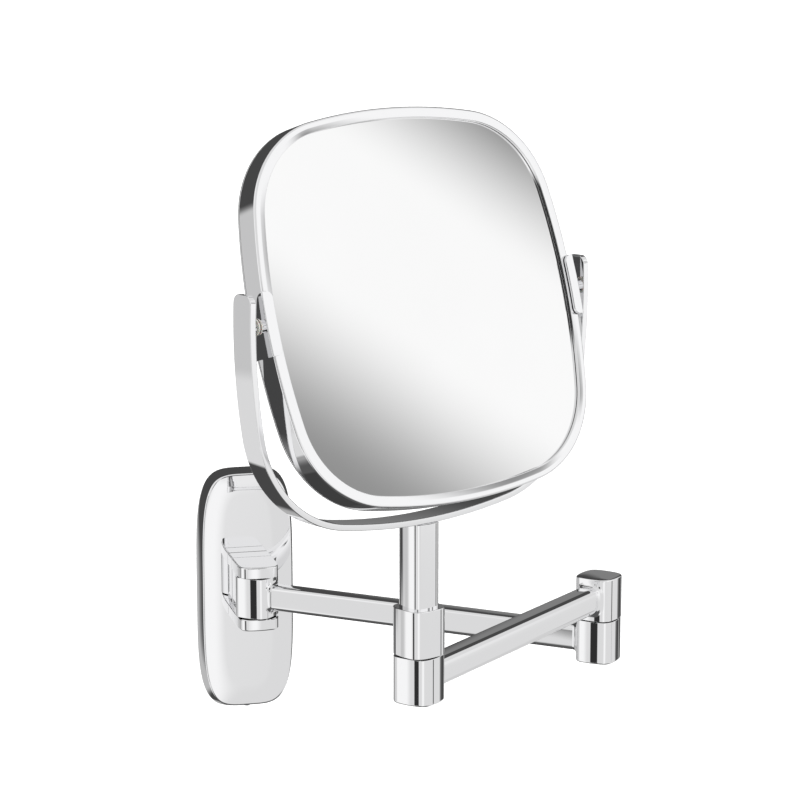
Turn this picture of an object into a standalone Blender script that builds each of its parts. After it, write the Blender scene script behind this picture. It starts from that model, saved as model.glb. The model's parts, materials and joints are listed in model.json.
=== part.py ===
"""Wall-mounted extendable shaving mirror, modelled as its separate pieces.

Metres, +Z up. The origin is the centre of the wall cover on the wall plane (y = 0), the room
is towards -Y and +X runs along the wall. Four empties stand on the joint axes, each the parent
of the next: wall_hinge (rear arm), elbow_hinge (front arm), post_hinge (yoke) and tilt_hinge
(mirror head). A piece is built in the coordinates of its empty, so turning an empty about its
own axis poses everything beyond it.
"""
from math import asin, atan2, cos, hypot, pi, radians, sin, sqrt

import bmesh
import bpy
from mathutils import Vector

# Clearances
GAP = 0.0003             # between pieces that touch or are pressed together
SEAM = 0.0005            # running seam between two knuckles, or a knuckle and a lug
SWING_GAP = 0.0005       # web of the clevis to the turning knuckle
BEYOND = 0.0010          # how far a cutter reaches past the face it opens

# Rest pose
REAR_ARM_ANGLE = radians(-39.8)      # direction of the rear arm from +X
ELBOW_ANGLE = radians(-96.4)         # front arm from the rear arm's direction
SWIVEL_ANGLE = radians(162.5)        # mirror's width axis from the front arm's direction
HEAD_TILT = radians(16.8)            # top of the mirror leans back

# Wall cover and what is behind it
COVER_HALF_WIDTH = 0.0289
COVER_HALF_HEIGHT = 0.0727
COVER_DEPTH = 0.011
COVER_SQUARENESS = 4.2               # exponent of the rounded outline
COVER_EDGE_INSET = 0.0032            # round-over, measured across the face
COVER_EDGE_DEPTH = 0.0052            # round-over, measured along the side
COVER_CROWN = 0.0008                 # rise of the face above its edge
COVER_CROWN_INSETS = (0.0090, 0.0150)    # rings of the crowned face, in from the outline
COVER_BACK_INSET = 0.0180            # innermost ring of the hollow side
COVER_WALL = 0.0016
BRACKET_SHEET = 0.0020
BRACKET_INSET = 0.0060               # from the cover's inner face to the bracket's edge
BRACKET_CORNER_R = 0.0080
BRACKET_TAB = 0.0060                 # how far the turned edges stand off the wall
WALL_SCREW_SPACING = 0.0900
WALL_SCREW_R = 0.0024
GRUB_R = 0.0020
SOCKET_DEPTH = 0.0016                # key sockets of the small screws
SCREW_CHAMFER = 0.0005
SMALL_CHAMFER = 0.0003

# Hinge on the wall
HINGE_RISE = 0.0047                  # centre of the hinge above the centre of the cover
LUG_THICKNESS = 0.0066
LUG_OVERHANG = 0.0009                # lugs are this much wider than the knuckle, each side
BASE_DEPTH = 0.0122                  # spacer block between the cover and the clevis
WEB_THICKNESS = 0.0018
WEB_INSET = 0.0018                   # the web is this much narrower than the lugs, each side
CLEVIS_SCREW_R = 0.0015
CLEVIS_SCREW_HEAD_R = 0.0028
CLEVIS_SCREW_HEAD = 0.0022
CLEVIS_SCREW_GRIP = 0.0090           # length of thread in a lug
PIN_R = 0.0030
PIN_ROOF = 0.0018                    # metal left above the pin in the upper lug

# Knuckles and arms
KNUCKLE_HALF = 0.0111
KNUCKLE_SIDE_R = 0.0300
KNUCKLE_CORNER_R = 0.0056
KNUCKLE_HEIGHT = 0.0240
KNUCKLE_EDGE = 0.0008                # rounding of an outer edge
SEAM_EDGE = 0.0002                   # rounding of an edge along a seam
ELBOW_CROWN = 0.0011                 # domed top of the elbow
REAR_ARM_LENGTH = 0.2133             # wall hinge axis to elbow axis
FRONT_ARM_LENGTH = 0.1846            # elbow axis to post axis
ARM_HALF_WIDTH = 0.0062
ARM_HALF_HEIGHT = 0.0074
ARM_EDGE_R = 0.0026
ARM_WALL = 0.0015
SPIGOT_LENGTH = 0.0120               # part of a knuckle that reaches into the tube

# What turns inside the knuckles
BUSH_WALL = 0.0014
BUSH_FLANGE = 0.0010
BUSH_FLANGE_R = 0.0074
BUSH_PROUD = 0.0002                  # flange above the knuckle's face
BUSH_SPACING = 0.0030                # between the two bushes in one knuckle
BOLT_HEAD_R = 0.0058
BOLT_HEAD = 0.0028
BOLT_SOCKET_R = 0.0020
BOLT_SOCKET = 0.0018                 # depth of the key's socket in the head
SPRING_RISE = 0.0009
SPRING_SHEET = 0.0005
CAP_THICKNESS = 0.0018
CAP_R = 0.0076
CAP_INSET = 0.0001                   # cap above the knuckle's lower face

# Post and yoke
COLLAR_FLOOR = 0.0024                # metal between the bolt's tip and the post
POST_HALF = 0.0083
POST_SIDE_R = 0.0240
POST_CORNER_R = 0.0038
POST_SOCKET = 0.0090                 # depth of the post in the collar
YOKE_GAP = 0.0069                    # rim to the inner face of the yoke
YOKE_THICKNESS = 0.0032
YOKE_DEPTH = 0.0134
YOKE_EDGE = 0.0005
YOKE_ARM_RISE = 0.0150               # ends of the yoke above the pivot axis
YOKE_END_R = 0.0042
POST_RISE = 0.0423                   # post from the collar to the yoke
STUD_R = 0.0020
STUD_SEAT = 0.0018                   # depth of the stud in the yoke
STUD_TIP = 0.0006                    # stud beyond its retaining ring
SPACER_R = 0.0031
RING_R = 0.0044
RING_SHEET = 0.0008
RING_GROOVE = 0.0005
RING_PLAY = 0.0001

# Mirror head
HEAD_HALF = 0.09575
HEAD_SIDE_R = 0.3010
HEAD_CORNER_R = 0.0502
LIP_WIDTH = 0.0055
LIP_EDGE = 0.0012
LIP_THICKNESS = 0.0016
LIP_INNER_EDGE = 0.0004              # upright part of the lip's inner edge
RIM_WALL = 0.0016
SKIRT = 0.0009                       # rear lip's step into the rim
FRONT_GLASS = 0.0030
REAR_GLASS = 0.0025
MAGNIFIER_RADIUS = 1.3000            # spherical radius of the hollow rear glass
PACKING_THINNEST = 0.0005            # packing at the middle, where the hollow glass is deepest
PACKING_MARGIN = 0.0030              # glass edge to packing edge
CLIP_HALF_LENGTH = 0.0150
CLIP_SHEET = 0.0015
CLIP_LAP = 0.0040                    # reach of the clip over each lip
CLIP_CORNER_R = 0.0034
PIVOT_BUSH_WALL = 0.0008
PIVOT_BUSH_FLANGE = 0.0008
PIVOT_BUSH_FLANGE_R = 0.0040

# Smoothness of the solids
ROUND_STEPS = 24
SMALL_STEPS = 16
CORNER_STEP = radians(11)
SIDE_STEP = radians(3.4)
SMALL_CORNER_STEP = radians(15)
SMALL_SIDE_STEP = radians(12)


# ---------------------------------------------------------------- outlines

class SoftSquare:
    """Square with bowed sides: side arcs and corner arcs that meet at a tangent.

    A point is found by the direction of its outward normal, so an offset outline has the
    same points as the outline itself.
    """

    def __init__(self, half, side_r, corner_r, corner_step, side_step):
        self.side_r = side_r
        self.corner_r = corner_r
        self.side_centre = side_r - half
        reach = side_r - corner_r
        self.corner = (sqrt(2 * reach ** 2 - self.side_centre ** 2) - self.side_centre) / 2
        self.turn = atan2(self.corner, self.corner + self.side_centre)
        self.corner_step = corner_step
        self.side_step = side_step

    def point(self, angle, offset=0.0):
        """The point whose outward normal has this angle, moved outwards by offset."""
        side = round(angle / (pi / 2))
        across = angle - side * pi / 2
        middle = side * pi / 2
        if abs(across) <= self.turn + 1e-9:
            radius = self.side_r + offset
            centre_x = -self.side_centre * cos(middle)
            centre_y = -self.side_centre * sin(middle)
        else:
            radius = self.corner_r + offset
            diagonal = middle + (pi / 4 if across > 0 else -pi / 4)
            centre_x = self.corner * sqrt(2) * cos(diagonal)
            centre_y = self.corner * sqrt(2) * sin(diagonal)
        return Vector((centre_x + radius * cos(angle), centre_y + radius * sin(angle)))

    def angles(self, start, stop):
        """Normal angles from start to stop, with a break at every change of arc."""
        breaks = [start]
        first = int(start // (pi / 2)) - 1
        last = int(stop // (pi / 2)) + 2
        for side in range(first, last):
            for edge in (side * pi / 2 - self.turn, side * pi / 2 + self.turn):
                if start + 1e-6 < edge < stop - 1e-6:
                    breaks.append(edge)
        breaks.append(stop)
        found = []
        for low, high in zip(breaks, breaks[1:]):
            middle = (low + high) / 2
            on_side = abs(middle - round(middle / (pi / 2)) * pi / 2) < self.turn
            step = self.side_step if on_side else self.corner_step
            count = max(1, round((high - low) / step))
            found += [low + (high - low) * i / count for i in range(count)]
        return found + [stop]

    def outline(self, offset=0.0):
        """Closed outline, counterclockwise."""
        return [self.point(angle, offset) for angle in self.angles(-self.turn, 2 * pi - self.turn)[:-1]]


def superellipse(half_x, half_y, exponent, count=56):
    """Closed rounded outline whose points are spread evenly by direction."""
    points = []
    for i in range(count):
        angle = 2 * pi * i / count
        x = abs(cos(angle)) ** (2 / exponent) * half_x
        y = abs(sin(angle)) ** (2 / exponent) * half_y
        points.append(Vector((x if cos(angle) >= 0 else -x, y if sin(angle) >= 0 else -y)))
    return points


def rounded_rectangle(half_x, half_y, radius, steps=4):
    """Closed rectangle with round corners, counterclockwise."""
    points = []
    for corner in range(4):
        turn = corner * pi / 2
        sign_x = 1 if corner in (0, 3) else -1
        sign_y = 1 if corner in (0, 1) else -1
        for i in range(steps + 1):
            angle = turn + pi / 2 * i / steps
            x = sign_x * (half_x - radius) + radius * cos(angle)
            y = sign_y * (half_y - radius) + radius * sin(angle)
            points.append(Vector((x, y)))
    return points


# ---------------------------------------------------------------- sizes that follow from those above

KNUCKLE = SoftSquare(KNUCKLE_HALF, KNUCKLE_SIDE_R, KNUCKLE_CORNER_R, SMALL_CORNER_STEP, SMALL_SIDE_STEP)
POST = SoftSquare(POST_HALF, POST_SIDE_R, POST_CORNER_R, SMALL_CORNER_STEP, SMALL_SIDE_STEP)
HEAD = SoftSquare(HEAD_HALF, HEAD_SIDE_R, HEAD_CORNER_R, CORNER_STEP, SIDE_STEP)

# Depths from the wall, along -Y
BASE_BACK_Y = -COVER_DEPTH - GAP
BASE_FRONT_Y = BASE_BACK_Y - BASE_DEPTH
CLEVIS_BACK_Y = BASE_FRONT_Y - GAP
WEB_FRONT_Y = CLEVIS_BACK_Y - WEB_THICKNESS
HINGE_REACH = KNUCKLE.point(pi / 4).length + SWING_GAP - WEB_FRONT_Y     # wall to the vertical axis

# Heights from the plane between the two arms
LEVEL_Z = HINGE_RISE + KNUCKLE_HEIGHT / 2
LUG_HALF_WIDTH = KNUCKLE_HALF + LUG_OVERHANG
LUG_INNER_TOP = SEAM / 2
LUG_TOP = LUG_INNER_TOP + LUG_THICKNESS
LUG_INNER_BOTTOM = -KNUCKLE_HEIGHT - SEAM / 2
LUG_BOTTOM = LUG_INNER_BOTTOM - LUG_THICKNESS
UPPER_LUG_Z = (LUG_INNER_TOP + LUG_TOP) / 2
LOWER_LUG_Z = (LUG_INNER_BOTTOM + LUG_BOTTOM) / 2

# Inside a knuckle, heights from its upper seam plane
KNUCKLE_LOW = -KNUCKLE_HEIGHT + SEAM / 2
KNUCKLE_HIGH = -SEAM / 2
BUSH_INNER_R = PIN_R + GAP
BUSH_OUTER_R = BUSH_INNER_R + BUSH_WALL
BORE_R = BUSH_OUTER_R + GAP
FLANGE_POCKET_R = BUSH_FLANGE_R + GAP
FLANGE_POCKET = BUSH_FLANGE - BUSH_PROUD + GAP
CAP_POCKET_R = CAP_R + GAP
CAP_TOP = KNUCKLE_LOW + CAP_THICKNESS
BOLT_HEAD_LOW = CAP_TOP + GAP
BOLT_HEAD_HIGH = BOLT_HEAD_LOW + BOLT_HEAD
SPRING_LOW = BOLT_HEAD_HIGH + GAP
LOWER_FLANGE_LOW = SPRING_LOW + SPRING_RISE + SPRING_SHEET + GAP
POCKET_FLOOR = LOWER_FLANGE_LOW + BUSH_FLANGE + GAP
UPPER_FLANGE_LOW = KNUCKLE_HIGH + BUSH_PROUD - BUSH_FLANGE
SWIVEL_BUSH_LENGTH = (UPPER_FLANGE_LOW - LOWER_FLANGE_LOW - BUSH_FLANGE - BUSH_SPACING) / 2
WALL_BUSH_LENGTH = (2 * UPPER_FLANGE_LOW + KNUCKLE_HEIGHT - BUSH_SPACING) / 2

# Post and yoke, heights from the collar's lower seam plane
COLLAR_HEIGHT = KNUCKLE_HEIGHT
BOLT_TIP = COLLAR_HEIGHT - POST_SOCKET - COLLAR_FLOOR - 2 * GAP
POST_TOP = COLLAR_HEIGHT + POST_RISE
PIVOT_HEIGHT = POST_TOP + YOKE_THICKNESS + YOKE_GAP + HEAD_HALF
YOKE_INNER_X = HEAD_HALF + YOKE_GAP

# Mirror head, from the rim inwards
GLASS_MARGIN = RIM_WALL + RING_SHEET + STUD_TIP + 4 * GAP
GLASS_CORNER = HEAD.point(pi / 4, -GLASS_MARGIN).length
GLASS_HOLLOW = GLASS_CORNER ** 2 / (2 * MAGNIFIER_RADIUS)
HEAD_DEPTH = 2 * LIP_THICKNESS + FRONT_GLASS + REAR_GLASS + GLASS_HOLLOW + PACKING_THINNEST + 4 * GAP
HEAD_HALF_DEPTH = HEAD_DEPTH / 2
CLIP_OUTER_X = HEAD_HALF + GAP + CLIP_SHEET
PIVOT_BORE_R = STUD_R + PIVOT_BUSH_WALL + 2 * GAP


# ---------------------------------------------------------------- solids

def material(name, colour, roughness, metallic):
    """Principled material, made once for each name."""
    found = bpy.data.materials.get(name)
    if found:
        return found
    made = bpy.data.materials.new(name)
    made.use_nodes = True
    shader = made.node_tree.nodes["Principled BSDF"]
    shader.inputs["Base Color"].default_value = (*colour, 1.0)
    shader.inputs["Roughness"].default_value = roughness
    shader.inputs["Metallic"].default_value = metallic
    return made


FINISHES = {
    "polished_chrome": ((0.80, 0.81, 0.83), 0.05, 1.0),
    "zinc_steel": ((0.60, 0.61, 0.62), 0.35, 1.0),
    "spring_steel": ((0.35, 0.35, 0.37), 0.30, 1.0),
    "white_nylon": ((0.85, 0.85, 0.82), 0.45, 0.0),
    "mirror_glass": ((0.90, 0.92, 0.92), 0.01, 1.0),
    "grey_foam": ((0.25, 0.25, 0.26), 0.90, 0.0),
}


def solid(name, mesh, parent, finish):
    """Names the object of a closed bmesh, gives it its finish and hangs it on its empty."""
    bmesh.ops.recalc_face_normals(mesh, faces=mesh.faces)
    data = bpy.data.meshes.new(name)
    mesh.to_mesh(data)
    mesh.free()
    data.shade_smooth()
    data.set_sharp_from_angle(angle=radians(35))
    made = bpy.data.objects.new(name, data)
    bpy.context.scene.collection.objects.link(made)
    made.parent = parent
    if finish:
        made.data.materials.append(material(finish, *FINISHES[finish]))
    return made


def loft(rings, closed=False):
    """Closed bmesh through rings of equal count; open rings get end caps."""
    mesh = bmesh.new()
    loops = [[mesh.verts.new(point) for point in ring] for ring in rings]
    count = len(loops[0])
    pairs = list(zip(loops, loops[1:]))
    if closed:
        pairs.append((loops[-1], loops[0]))
    for low, high in pairs:
        for i in range(count):
            j = (i + 1) % count
            mesh.faces.new((low[i], low[j], high[j], high[i]))
    if not closed:
        mesh.faces.new(list(reversed(loops[0])))
        mesh.faces.new(loops[-1])
    return mesh


def turned(profile, steps, closed=False):
    """Bmesh turned about Z from (radius, height) points; closed profiles make a ring."""
    rings = []
    for radius, height in profile:
        ring = []
        for i in range(steps):
            angle = 2 * pi * (i + 0.5) / steps
            ring.append(Vector((radius * cos(angle), radius * sin(angle), height)))
        rings.append(ring)
    return loft(rings, closed)


def tube_profile(inner, outer, low, high):
    """Closed profile of a plain ring."""
    return [(inner, low), (outer, low), (outer, high), (inner, high)]


def level(outline, height):
    """A flat outline raised to a height."""
    return [Vector((point.x, point.y, height)) for point in outline]


def lay_along(made, axis, location=(0, 0, 0)):
    """Lays a piece that was turned about Z along +X or -Y, at a place."""
    made.location = location
    if axis == "+X":
        made.rotation_euler = (0, pi / 2, 0)
    elif axis == "-Y":
        made.rotation_euler = (pi / 2, 0, 0)
    return made


def cut(target, cutter, operation="DIFFERENCE"):
    """Boolean that stays live on the piece; its tool is hidden."""
    cutter.hide_render = True
    cutter.display_type = "WIRE"
    step = target.modifiers.new(cutter.name, "BOOLEAN")
    step.operation = operation
    step.solver = "EXACT"
    step.object = cutter


def round_cutter(name, radius, low, high, parent, axis="Z", location=(0, 0, 0), steps=ROUND_STEPS):
    """Cylinder that bores a piece."""
    made = solid(name, turned([(radius, low), (radius, high)], steps), parent, None)
    return lay_along(made, axis, location)


def block(name, low, high, parent, finish=None):
    """Rectangular body between two corners."""
    outline = [Vector((low[0], low[1])), Vector((high[0], low[1])),
               Vector((high[0], high[1])), Vector((low[0], high[1]))]
    return solid(name, loft([level(outline, low[2]), level(outline, high[2])]), parent, finish)


def joint_empty(name, parent, location, rotation):
    """Empty on a joint axis."""
    made = bpy.data.objects.new(name, None)
    made.empty_display_size = 0.02
    bpy.context.scene.collection.objects.link(made)
    made.parent = parent
    made.location = location
    made.rotation_euler = rotation
    return made


# ---------------------------------------------------------------- wall side

def cover_ring(inset, depth):
    """One outline of the wall cover, this far in from its edge and off the wall."""
    outline = superellipse(COVER_HALF_WIDTH - inset, COVER_HALF_HEIGHT - inset, COVER_SQUARENESS)
    return [Vector((point.x, -depth, point.y)) for point in outline]


def make_wall_cover(root):
    """Open-backed shell with a rounded-over edge and a slightly crowned face."""
    edge_depth = COVER_DEPTH - COVER_CROWN
    inner = [cover_ring(COVER_BACK_INSET, COVER_DEPTH - COVER_WALL),
             cover_ring(COVER_EDGE_INSET + COVER_WALL, edge_depth - COVER_WALL),
             cover_ring(COVER_WALL, edge_depth - COVER_EDGE_DEPTH),
             cover_ring(COVER_WALL, 0.0)]
    outer = [cover_ring(0.0, 0.0)]
    steps = 5
    for i in range(steps + 1):
        turn = pi / 2 * i / steps
        inset = COVER_EDGE_INSET * (1 - cos(turn))
        outer.append(cover_ring(inset, edge_depth - COVER_EDGE_DEPTH * (1 - sin(turn))))
    for inset in COVER_CROWN_INSETS:
        share = (inset - COVER_EDGE_INSET) / (COVER_CROWN_INSETS[-1] - COVER_EDGE_INSET)
        outer.append(cover_ring(inset, edge_depth + COVER_CROWN * (1 - (1 - share) ** 2)))
    cover = solid("wall_cover", loft(inner + outer), root, "polished_chrome")
    deep = COVER_DEPTH - 3 * COVER_WALL
    for name, height in (("upper", UPPER_LUG_Z), ("lower", LOWER_LUG_Z)):
        cut(cover, round_cutter(f"cover_hole_{name}", CLEVIS_SCREW_R + GAP, deep, COVER_DEPTH + BEYOND,
                                root, "-Y", (0, 0, LEVEL_Z + height), SMALL_STEPS))
    cut(cover, round_cutter("cover_hole_grub", GRUB_R + GAP, -COVER_HALF_HEIGHT - BEYOND,
                            -COVER_HALF_HEIGHT + 2 * COVER_WALL, root, location=(0, -BRACKET_TAB / 2, 0),
                            steps=SMALL_STEPS))
    return cover


def make_bracket(root):
    """Sheet with turned upper and lower edges and two slots for wall screws."""
    half_width = COVER_HALF_WIDTH - COVER_WALL - BRACKET_INSET
    half_height = COVER_HALF_HEIGHT - COVER_WALL - BRACKET_INSET
    outline = rounded_rectangle(half_width, half_height, BRACKET_CORNER_R)
    rings = [[Vector((point.x, depth, point.y)) for point in outline] for depth in (0, -BRACKET_SHEET)]
    bracket = solid("mounting_bracket", loft(rings), root, "zinc_steel")
    tab_half = half_width - BRACKET_CORNER_R
    for name, sign in (("upper", 1), ("lower", -1)):
        outer = sign * half_height
        inner = sign * (half_height - BRACKET_SHEET)
        tab = block(f"bracket_tab_{name}", (-tab_half, -BRACKET_TAB, min(outer, inner)),
                    (tab_half, -BRACKET_SHEET / 2, max(outer, inner)), root)
        cut(bracket, tab, "UNION")
        slot = rounded_rectangle(WALL_SCREW_R * 2, WALL_SCREW_R, WALL_SCREW_R * 0.98)
        height = sign * WALL_SCREW_SPACING / 2
        slot_rings = [[Vector((point.x, depth, point.y + height)) for point in slot]
                      for depth in (BEYOND, -BRACKET_SHEET - BEYOND)]
        cut(bracket, solid(f"bracket_slot_{name}", loft(slot_rings), root, None))
    return bracket


def make_grub_screw(root):
    """Headless screw through the cover's lower edge, with its point on the bracket's tab."""
    tab_outer = -(COVER_HALF_HEIGHT - COVER_WALL - BRACKET_INSET)
    high = tab_outer - GAP
    low = -COVER_HALF_HEIGHT + GAP
    socket = GRUB_R * 0.45
    point = GRUB_R * 0.35
    profile = [(socket, low + SOCKET_DEPTH), (socket, low), (GRUB_R - SCREW_CHAMFER, low),
               (GRUB_R, low + SCREW_CHAMFER), (GRUB_R, high - GRUB_R + point), (point, high)]
    screw = solid("cover_grub_screw", turned(profile, SMALL_STEPS), root, "zinc_steel")
    screw.location = (0, -BRACKET_TAB / 2, 0)
    return screw


def lug_outline(half_width, front_y, back_y):
    """D-shaped outline: straight sides and the front of a soft square."""
    soft = SoftSquare(half_width, KNUCKLE_SIDE_R, KNUCKLE_CORNER_R, SMALL_CORNER_STEP, SMALL_SIDE_STEP)
    centre_y = front_y + half_width
    front = [soft.point(angle) + Vector((0, centre_y)) for angle in soft.angles(pi, 2 * pi)]
    return [Vector((half_width, back_y)), Vector((-half_width, back_y))] + front


def make_hinge_base(root):
    """Spacer block with a waist between its upper and lower ends."""
    wide = LUG_HALF_WIDTH
    narrow = LUG_HALF_WIDTH - WEB_INSET
    heights = [(LUG_BOTTOM, wide), (LUG_INNER_BOTTOM, wide), (LUG_INNER_BOTTOM + KNUCKLE_EDGE, narrow),
               (LUG_INNER_TOP - KNUCKLE_EDGE, narrow), (LUG_INNER_TOP, wide), (LUG_TOP, wide)]
    rings = []
    for height, half in heights:
        outline = [Vector((-half, BASE_FRONT_Y)), Vector((half, BASE_FRONT_Y)),
                   Vector((half, BASE_BACK_Y)), Vector((-half, BASE_BACK_Y))]
        rings.append(level(outline, LEVEL_Z + height))
    base = solid("hinge_base", loft(rings), root, "polished_chrome")
    for name, height in (("upper", UPPER_LUG_Z), ("lower", LOWER_LUG_Z)):
        cut(base, round_cutter(f"base_hole_{name}", CLEVIS_SCREW_R + GAP, -BASE_BACK_Y - BEYOND,
                               -BASE_FRONT_Y + BEYOND, root, "-Y",
                               (0, 0, LEVEL_Z + height), SMALL_STEPS))
    return base


def make_clevis(root):
    """Upper and lower lugs joined by a narrow web behind the knuckle."""
    axis_y = -HINGE_REACH
    outline = lug_outline(LUG_HALF_WIDTH, axis_y - LUG_HALF_WIDTH, CLEVIS_BACK_Y)
    inset = lug_outline(LUG_HALF_WIDTH - KNUCKLE_EDGE, axis_y - LUG_HALF_WIDTH + KNUCKLE_EDGE,
                        CLEVIS_BACK_Y)
    rings = [level(inset, LEVEL_Z + LUG_BOTTOM), level(outline, LEVEL_Z + LUG_BOTTOM + KNUCKLE_EDGE),
             level(outline, LEVEL_Z + LUG_TOP - KNUCKLE_EDGE), level(inset, LEVEL_Z + LUG_TOP)]
    clevis = solid("hinge_clevis", loft(rings), root, "polished_chrome")
    low = LEVEL_Z + LUG_INNER_BOTTOM
    high = LEVEL_Z + LUG_INNER_TOP
    beyond = 2 * LUG_HALF_WIDTH
    cut(clevis, block("clevis_slot", (-beyond, axis_y - beyond, low), (beyond, WEB_FRONT_Y, high), root))
    waist = LUG_HALF_WIDTH - WEB_INSET
    for name, near, far in (("left", -beyond, -waist), ("right", waist, beyond)):
        cut(clevis, block(f"clevis_waist_{name}", (near, WEB_FRONT_Y - BEYOND, low),
                          (far, CLEVIS_BACK_Y + BEYOND, high), root))
    pin_low = LEVEL_Z + LUG_BOTTOM - BEYOND
    pin_high = LEVEL_Z + LUG_TOP - PIN_ROOF
    cut(clevis, round_cutter("clevis_bore", PIN_R + GAP, pin_low, pin_high, root,
                             location=(0, axis_y, 0)))
    near = -CLEVIS_BACK_Y - BEYOND
    far = -CLEVIS_BACK_Y + CLEVIS_SCREW_GRIP + GAP
    for name, height in (("upper", UPPER_LUG_Z), ("lower", LOWER_LUG_Z)):
        cut(clevis, round_cutter(f"clevis_thread_{name}", CLEVIS_SCREW_R + GAP, near, far, root, "-Y",
                                 (0, 0, LEVEL_Z + height), SMALL_STEPS))
    return clevis


def make_clevis_screw(root, name, height):
    """Pan-head screw from inside the cover into a lug."""
    seat = COVER_DEPTH - COVER_WALL - GAP
    head = seat - CLEVIS_SCREW_HEAD
    tip = -CLEVIS_BACK_Y + CLEVIS_SCREW_GRIP
    socket = CLEVIS_SCREW_HEAD_R * 0.4
    profile = [(socket, head + SOCKET_DEPTH), (socket, head), (CLEVIS_SCREW_HEAD_R - SCREW_CHAMFER, head),
               (CLEVIS_SCREW_HEAD_R, head + SCREW_CHAMFER), (CLEVIS_SCREW_HEAD_R, seat),
               (CLEVIS_SCREW_R, seat), (CLEVIS_SCREW_R, tip - SCREW_CHAMFER),
               (CLEVIS_SCREW_R - SCREW_CHAMFER, tip)]
    screw = solid(name, turned(profile, SMALL_STEPS), root, "zinc_steel")
    return lay_along(screw, "-Y", (0, 0, LEVEL_Z + height))


def make_wall_hinge_pin(root):
    """Plain pin pressed into both lugs from below."""
    low = LEVEL_Z + LUG_BOTTOM + GAP
    high = LEVEL_Z + LUG_TOP - PIN_ROOF - GAP
    profile = [(PIN_R - SCREW_CHAMFER, low), (PIN_R, low + SCREW_CHAMFER), (PIN_R, high - SCREW_CHAMFER),
               (PIN_R - SCREW_CHAMFER, high)]
    pin = solid("wall_hinge_pin", turned(profile, ROUND_STEPS), root, "zinc_steel")
    pin.location = (0, -HINGE_REACH, 0)
    return pin


# ---------------------------------------------------------------- knuckles, arms and what turns in them

def knuckle_rings(low, high, low_edge, high_edge, crown=0.0):
    """Rings of a soft square knuckle, with rounded edges and, if asked, a crowned top."""
    rings = [level(KNUCKLE.outline(-low_edge), low),
             level(KNUCKLE.outline(-low_edge * 0.3), low + low_edge * 0.3),
             level(KNUCKLE.outline(), low + low_edge),
             level(KNUCKLE.outline(), high - high_edge),
             level(KNUCKLE.outline(-high_edge * 0.3), high - high_edge * 0.3),
             level(KNUCKLE.outline(-high_edge), high)]
    if crown:
        top = KNUCKLE.outline(-high_edge)
        for share in (0.8, 0.55, 0.28):
            rise = high + crown * (1 - share ** 2)
            rings.append([Vector((point.x * share, point.y * share, rise)) for point in top])
    return rings


def spigot(name, parent, sign, height):
    """Bar from a knuckle's middle into the arm tube; sign is the way it points."""
    outline = rounded_rectangle(ARM_HALF_WIDTH - ARM_WALL - GAP, ARM_HALF_HEIGHT - ARM_WALL - GAP,
                                max(ARM_EDGE_R - ARM_WALL, 0.0005), 2)
    reach = KNUCKLE_HALF + SPIGOT_LENGTH
    near = KNUCKLE_HALF * 0.5
    rings = [[Vector((sign * x, point.x, point.y + height)) for point in outline] for x in (near, reach)]
    return solid(name, loft(rings), parent, None)


def make_knuckle(name, parent, x, low, high, edges, crown=0.0, arm_sign=0):
    """Knuckle at x along its arm, with the spigot that its tube sits on."""
    made = solid(name, loft(knuckle_rings(low, high, edges[0], edges[1], crown)), parent, "polished_chrome")
    made.location.x = x
    if arm_sign:
        bar = spigot(f"{name}_spigot", parent, arm_sign, (low + high) / 2)
        bar.location.x = x
        cut(made, bar, "UNION")
    return made


def bore_knuckle(made, parent, x, low, high, top_pocket=True, bottom_pocket=True):
    """Through bore for the bushes, and a shallow pocket for a flange at each asked end."""
    cut(made, round_cutter(f"{made.name}_bore", BORE_R, low - BEYOND, high + BEYOND, parent,
                           location=(x, 0, 0)))
    if top_pocket:
        cut(made, round_cutter(f"{made.name}_top_pocket", FLANGE_POCKET_R, high - FLANGE_POCKET,
                               high + BEYOND, parent, location=(x, 0, 0)))
    if bottom_pocket:
        cut(made, round_cutter(f"{made.name}_bottom_pocket", FLANGE_POCKET_R, low - BEYOND,
                               low + FLANGE_POCKET, parent, location=(x, 0, 0)))


def make_bush(name, parent, x, face, direction, length):
    """Flanged plastic bush; face is the outer side of its flange, direction points out of the bore."""
    flange_inner = face - direction * BUSH_FLANGE
    tip = flange_inner - direction * length
    profile = [(BUSH_INNER_R, face), (BUSH_FLANGE_R, face), (BUSH_FLANGE_R, flange_inner),
               (BUSH_OUTER_R, flange_inner), (BUSH_OUTER_R, tip), (BUSH_INNER_R, tip)]
    made = solid(name, turned(profile, ROUND_STEPS, closed=True), parent, "white_nylon")
    made.location.x = x
    return made


def make_tube(name, parent, length, height):
    """Arm tube whose ends are shaped to the knuckles they meet."""
    outer = rounded_rectangle(ARM_HALF_WIDTH, ARM_HALF_HEIGHT, ARM_EDGE_R)
    inner = rounded_rectangle(ARM_HALF_WIDTH - ARM_WALL, ARM_HALF_HEIGHT - ARM_WALL,
                              max(ARM_EDGE_R - ARM_WALL, 0.0005))
    near = KNUCKLE_HALF * 0.6
    far = length - near
    rings = []
    for x, outline in ((near, outer), (far, outer), (far, inner), (near, inner)):
        rings.append([Vector((x, point.x, point.y + height)) for point in outline])
    tube = solid(name, loft(rings, closed=True), parent, "polished_chrome")
    for end, x in (("near", 0.0), ("far", length)):
        outline = KNUCKLE.outline(GAP)
        tall = 2 * ARM_HALF_HEIGHT
        rings = [level(outline, height - tall), level(outline, height + tall)]
        tool = solid(f"{name}_{end}_end", loft(rings), parent, None)
        tool.location.x = x
        cut(tube, tool)
    return tube


def open_underside(made, parent, x, offset):
    """Pockets for the bolt head, spring and lower flange, open at the knuckle's lower face."""
    cut(made, round_cutter(f"{made.name}_bolt_pocket", CAP_POCKET_R, offset + KNUCKLE_LOW - BEYOND,
                           offset + POCKET_FLOOR, parent, location=(x, 0, 0)))


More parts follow.
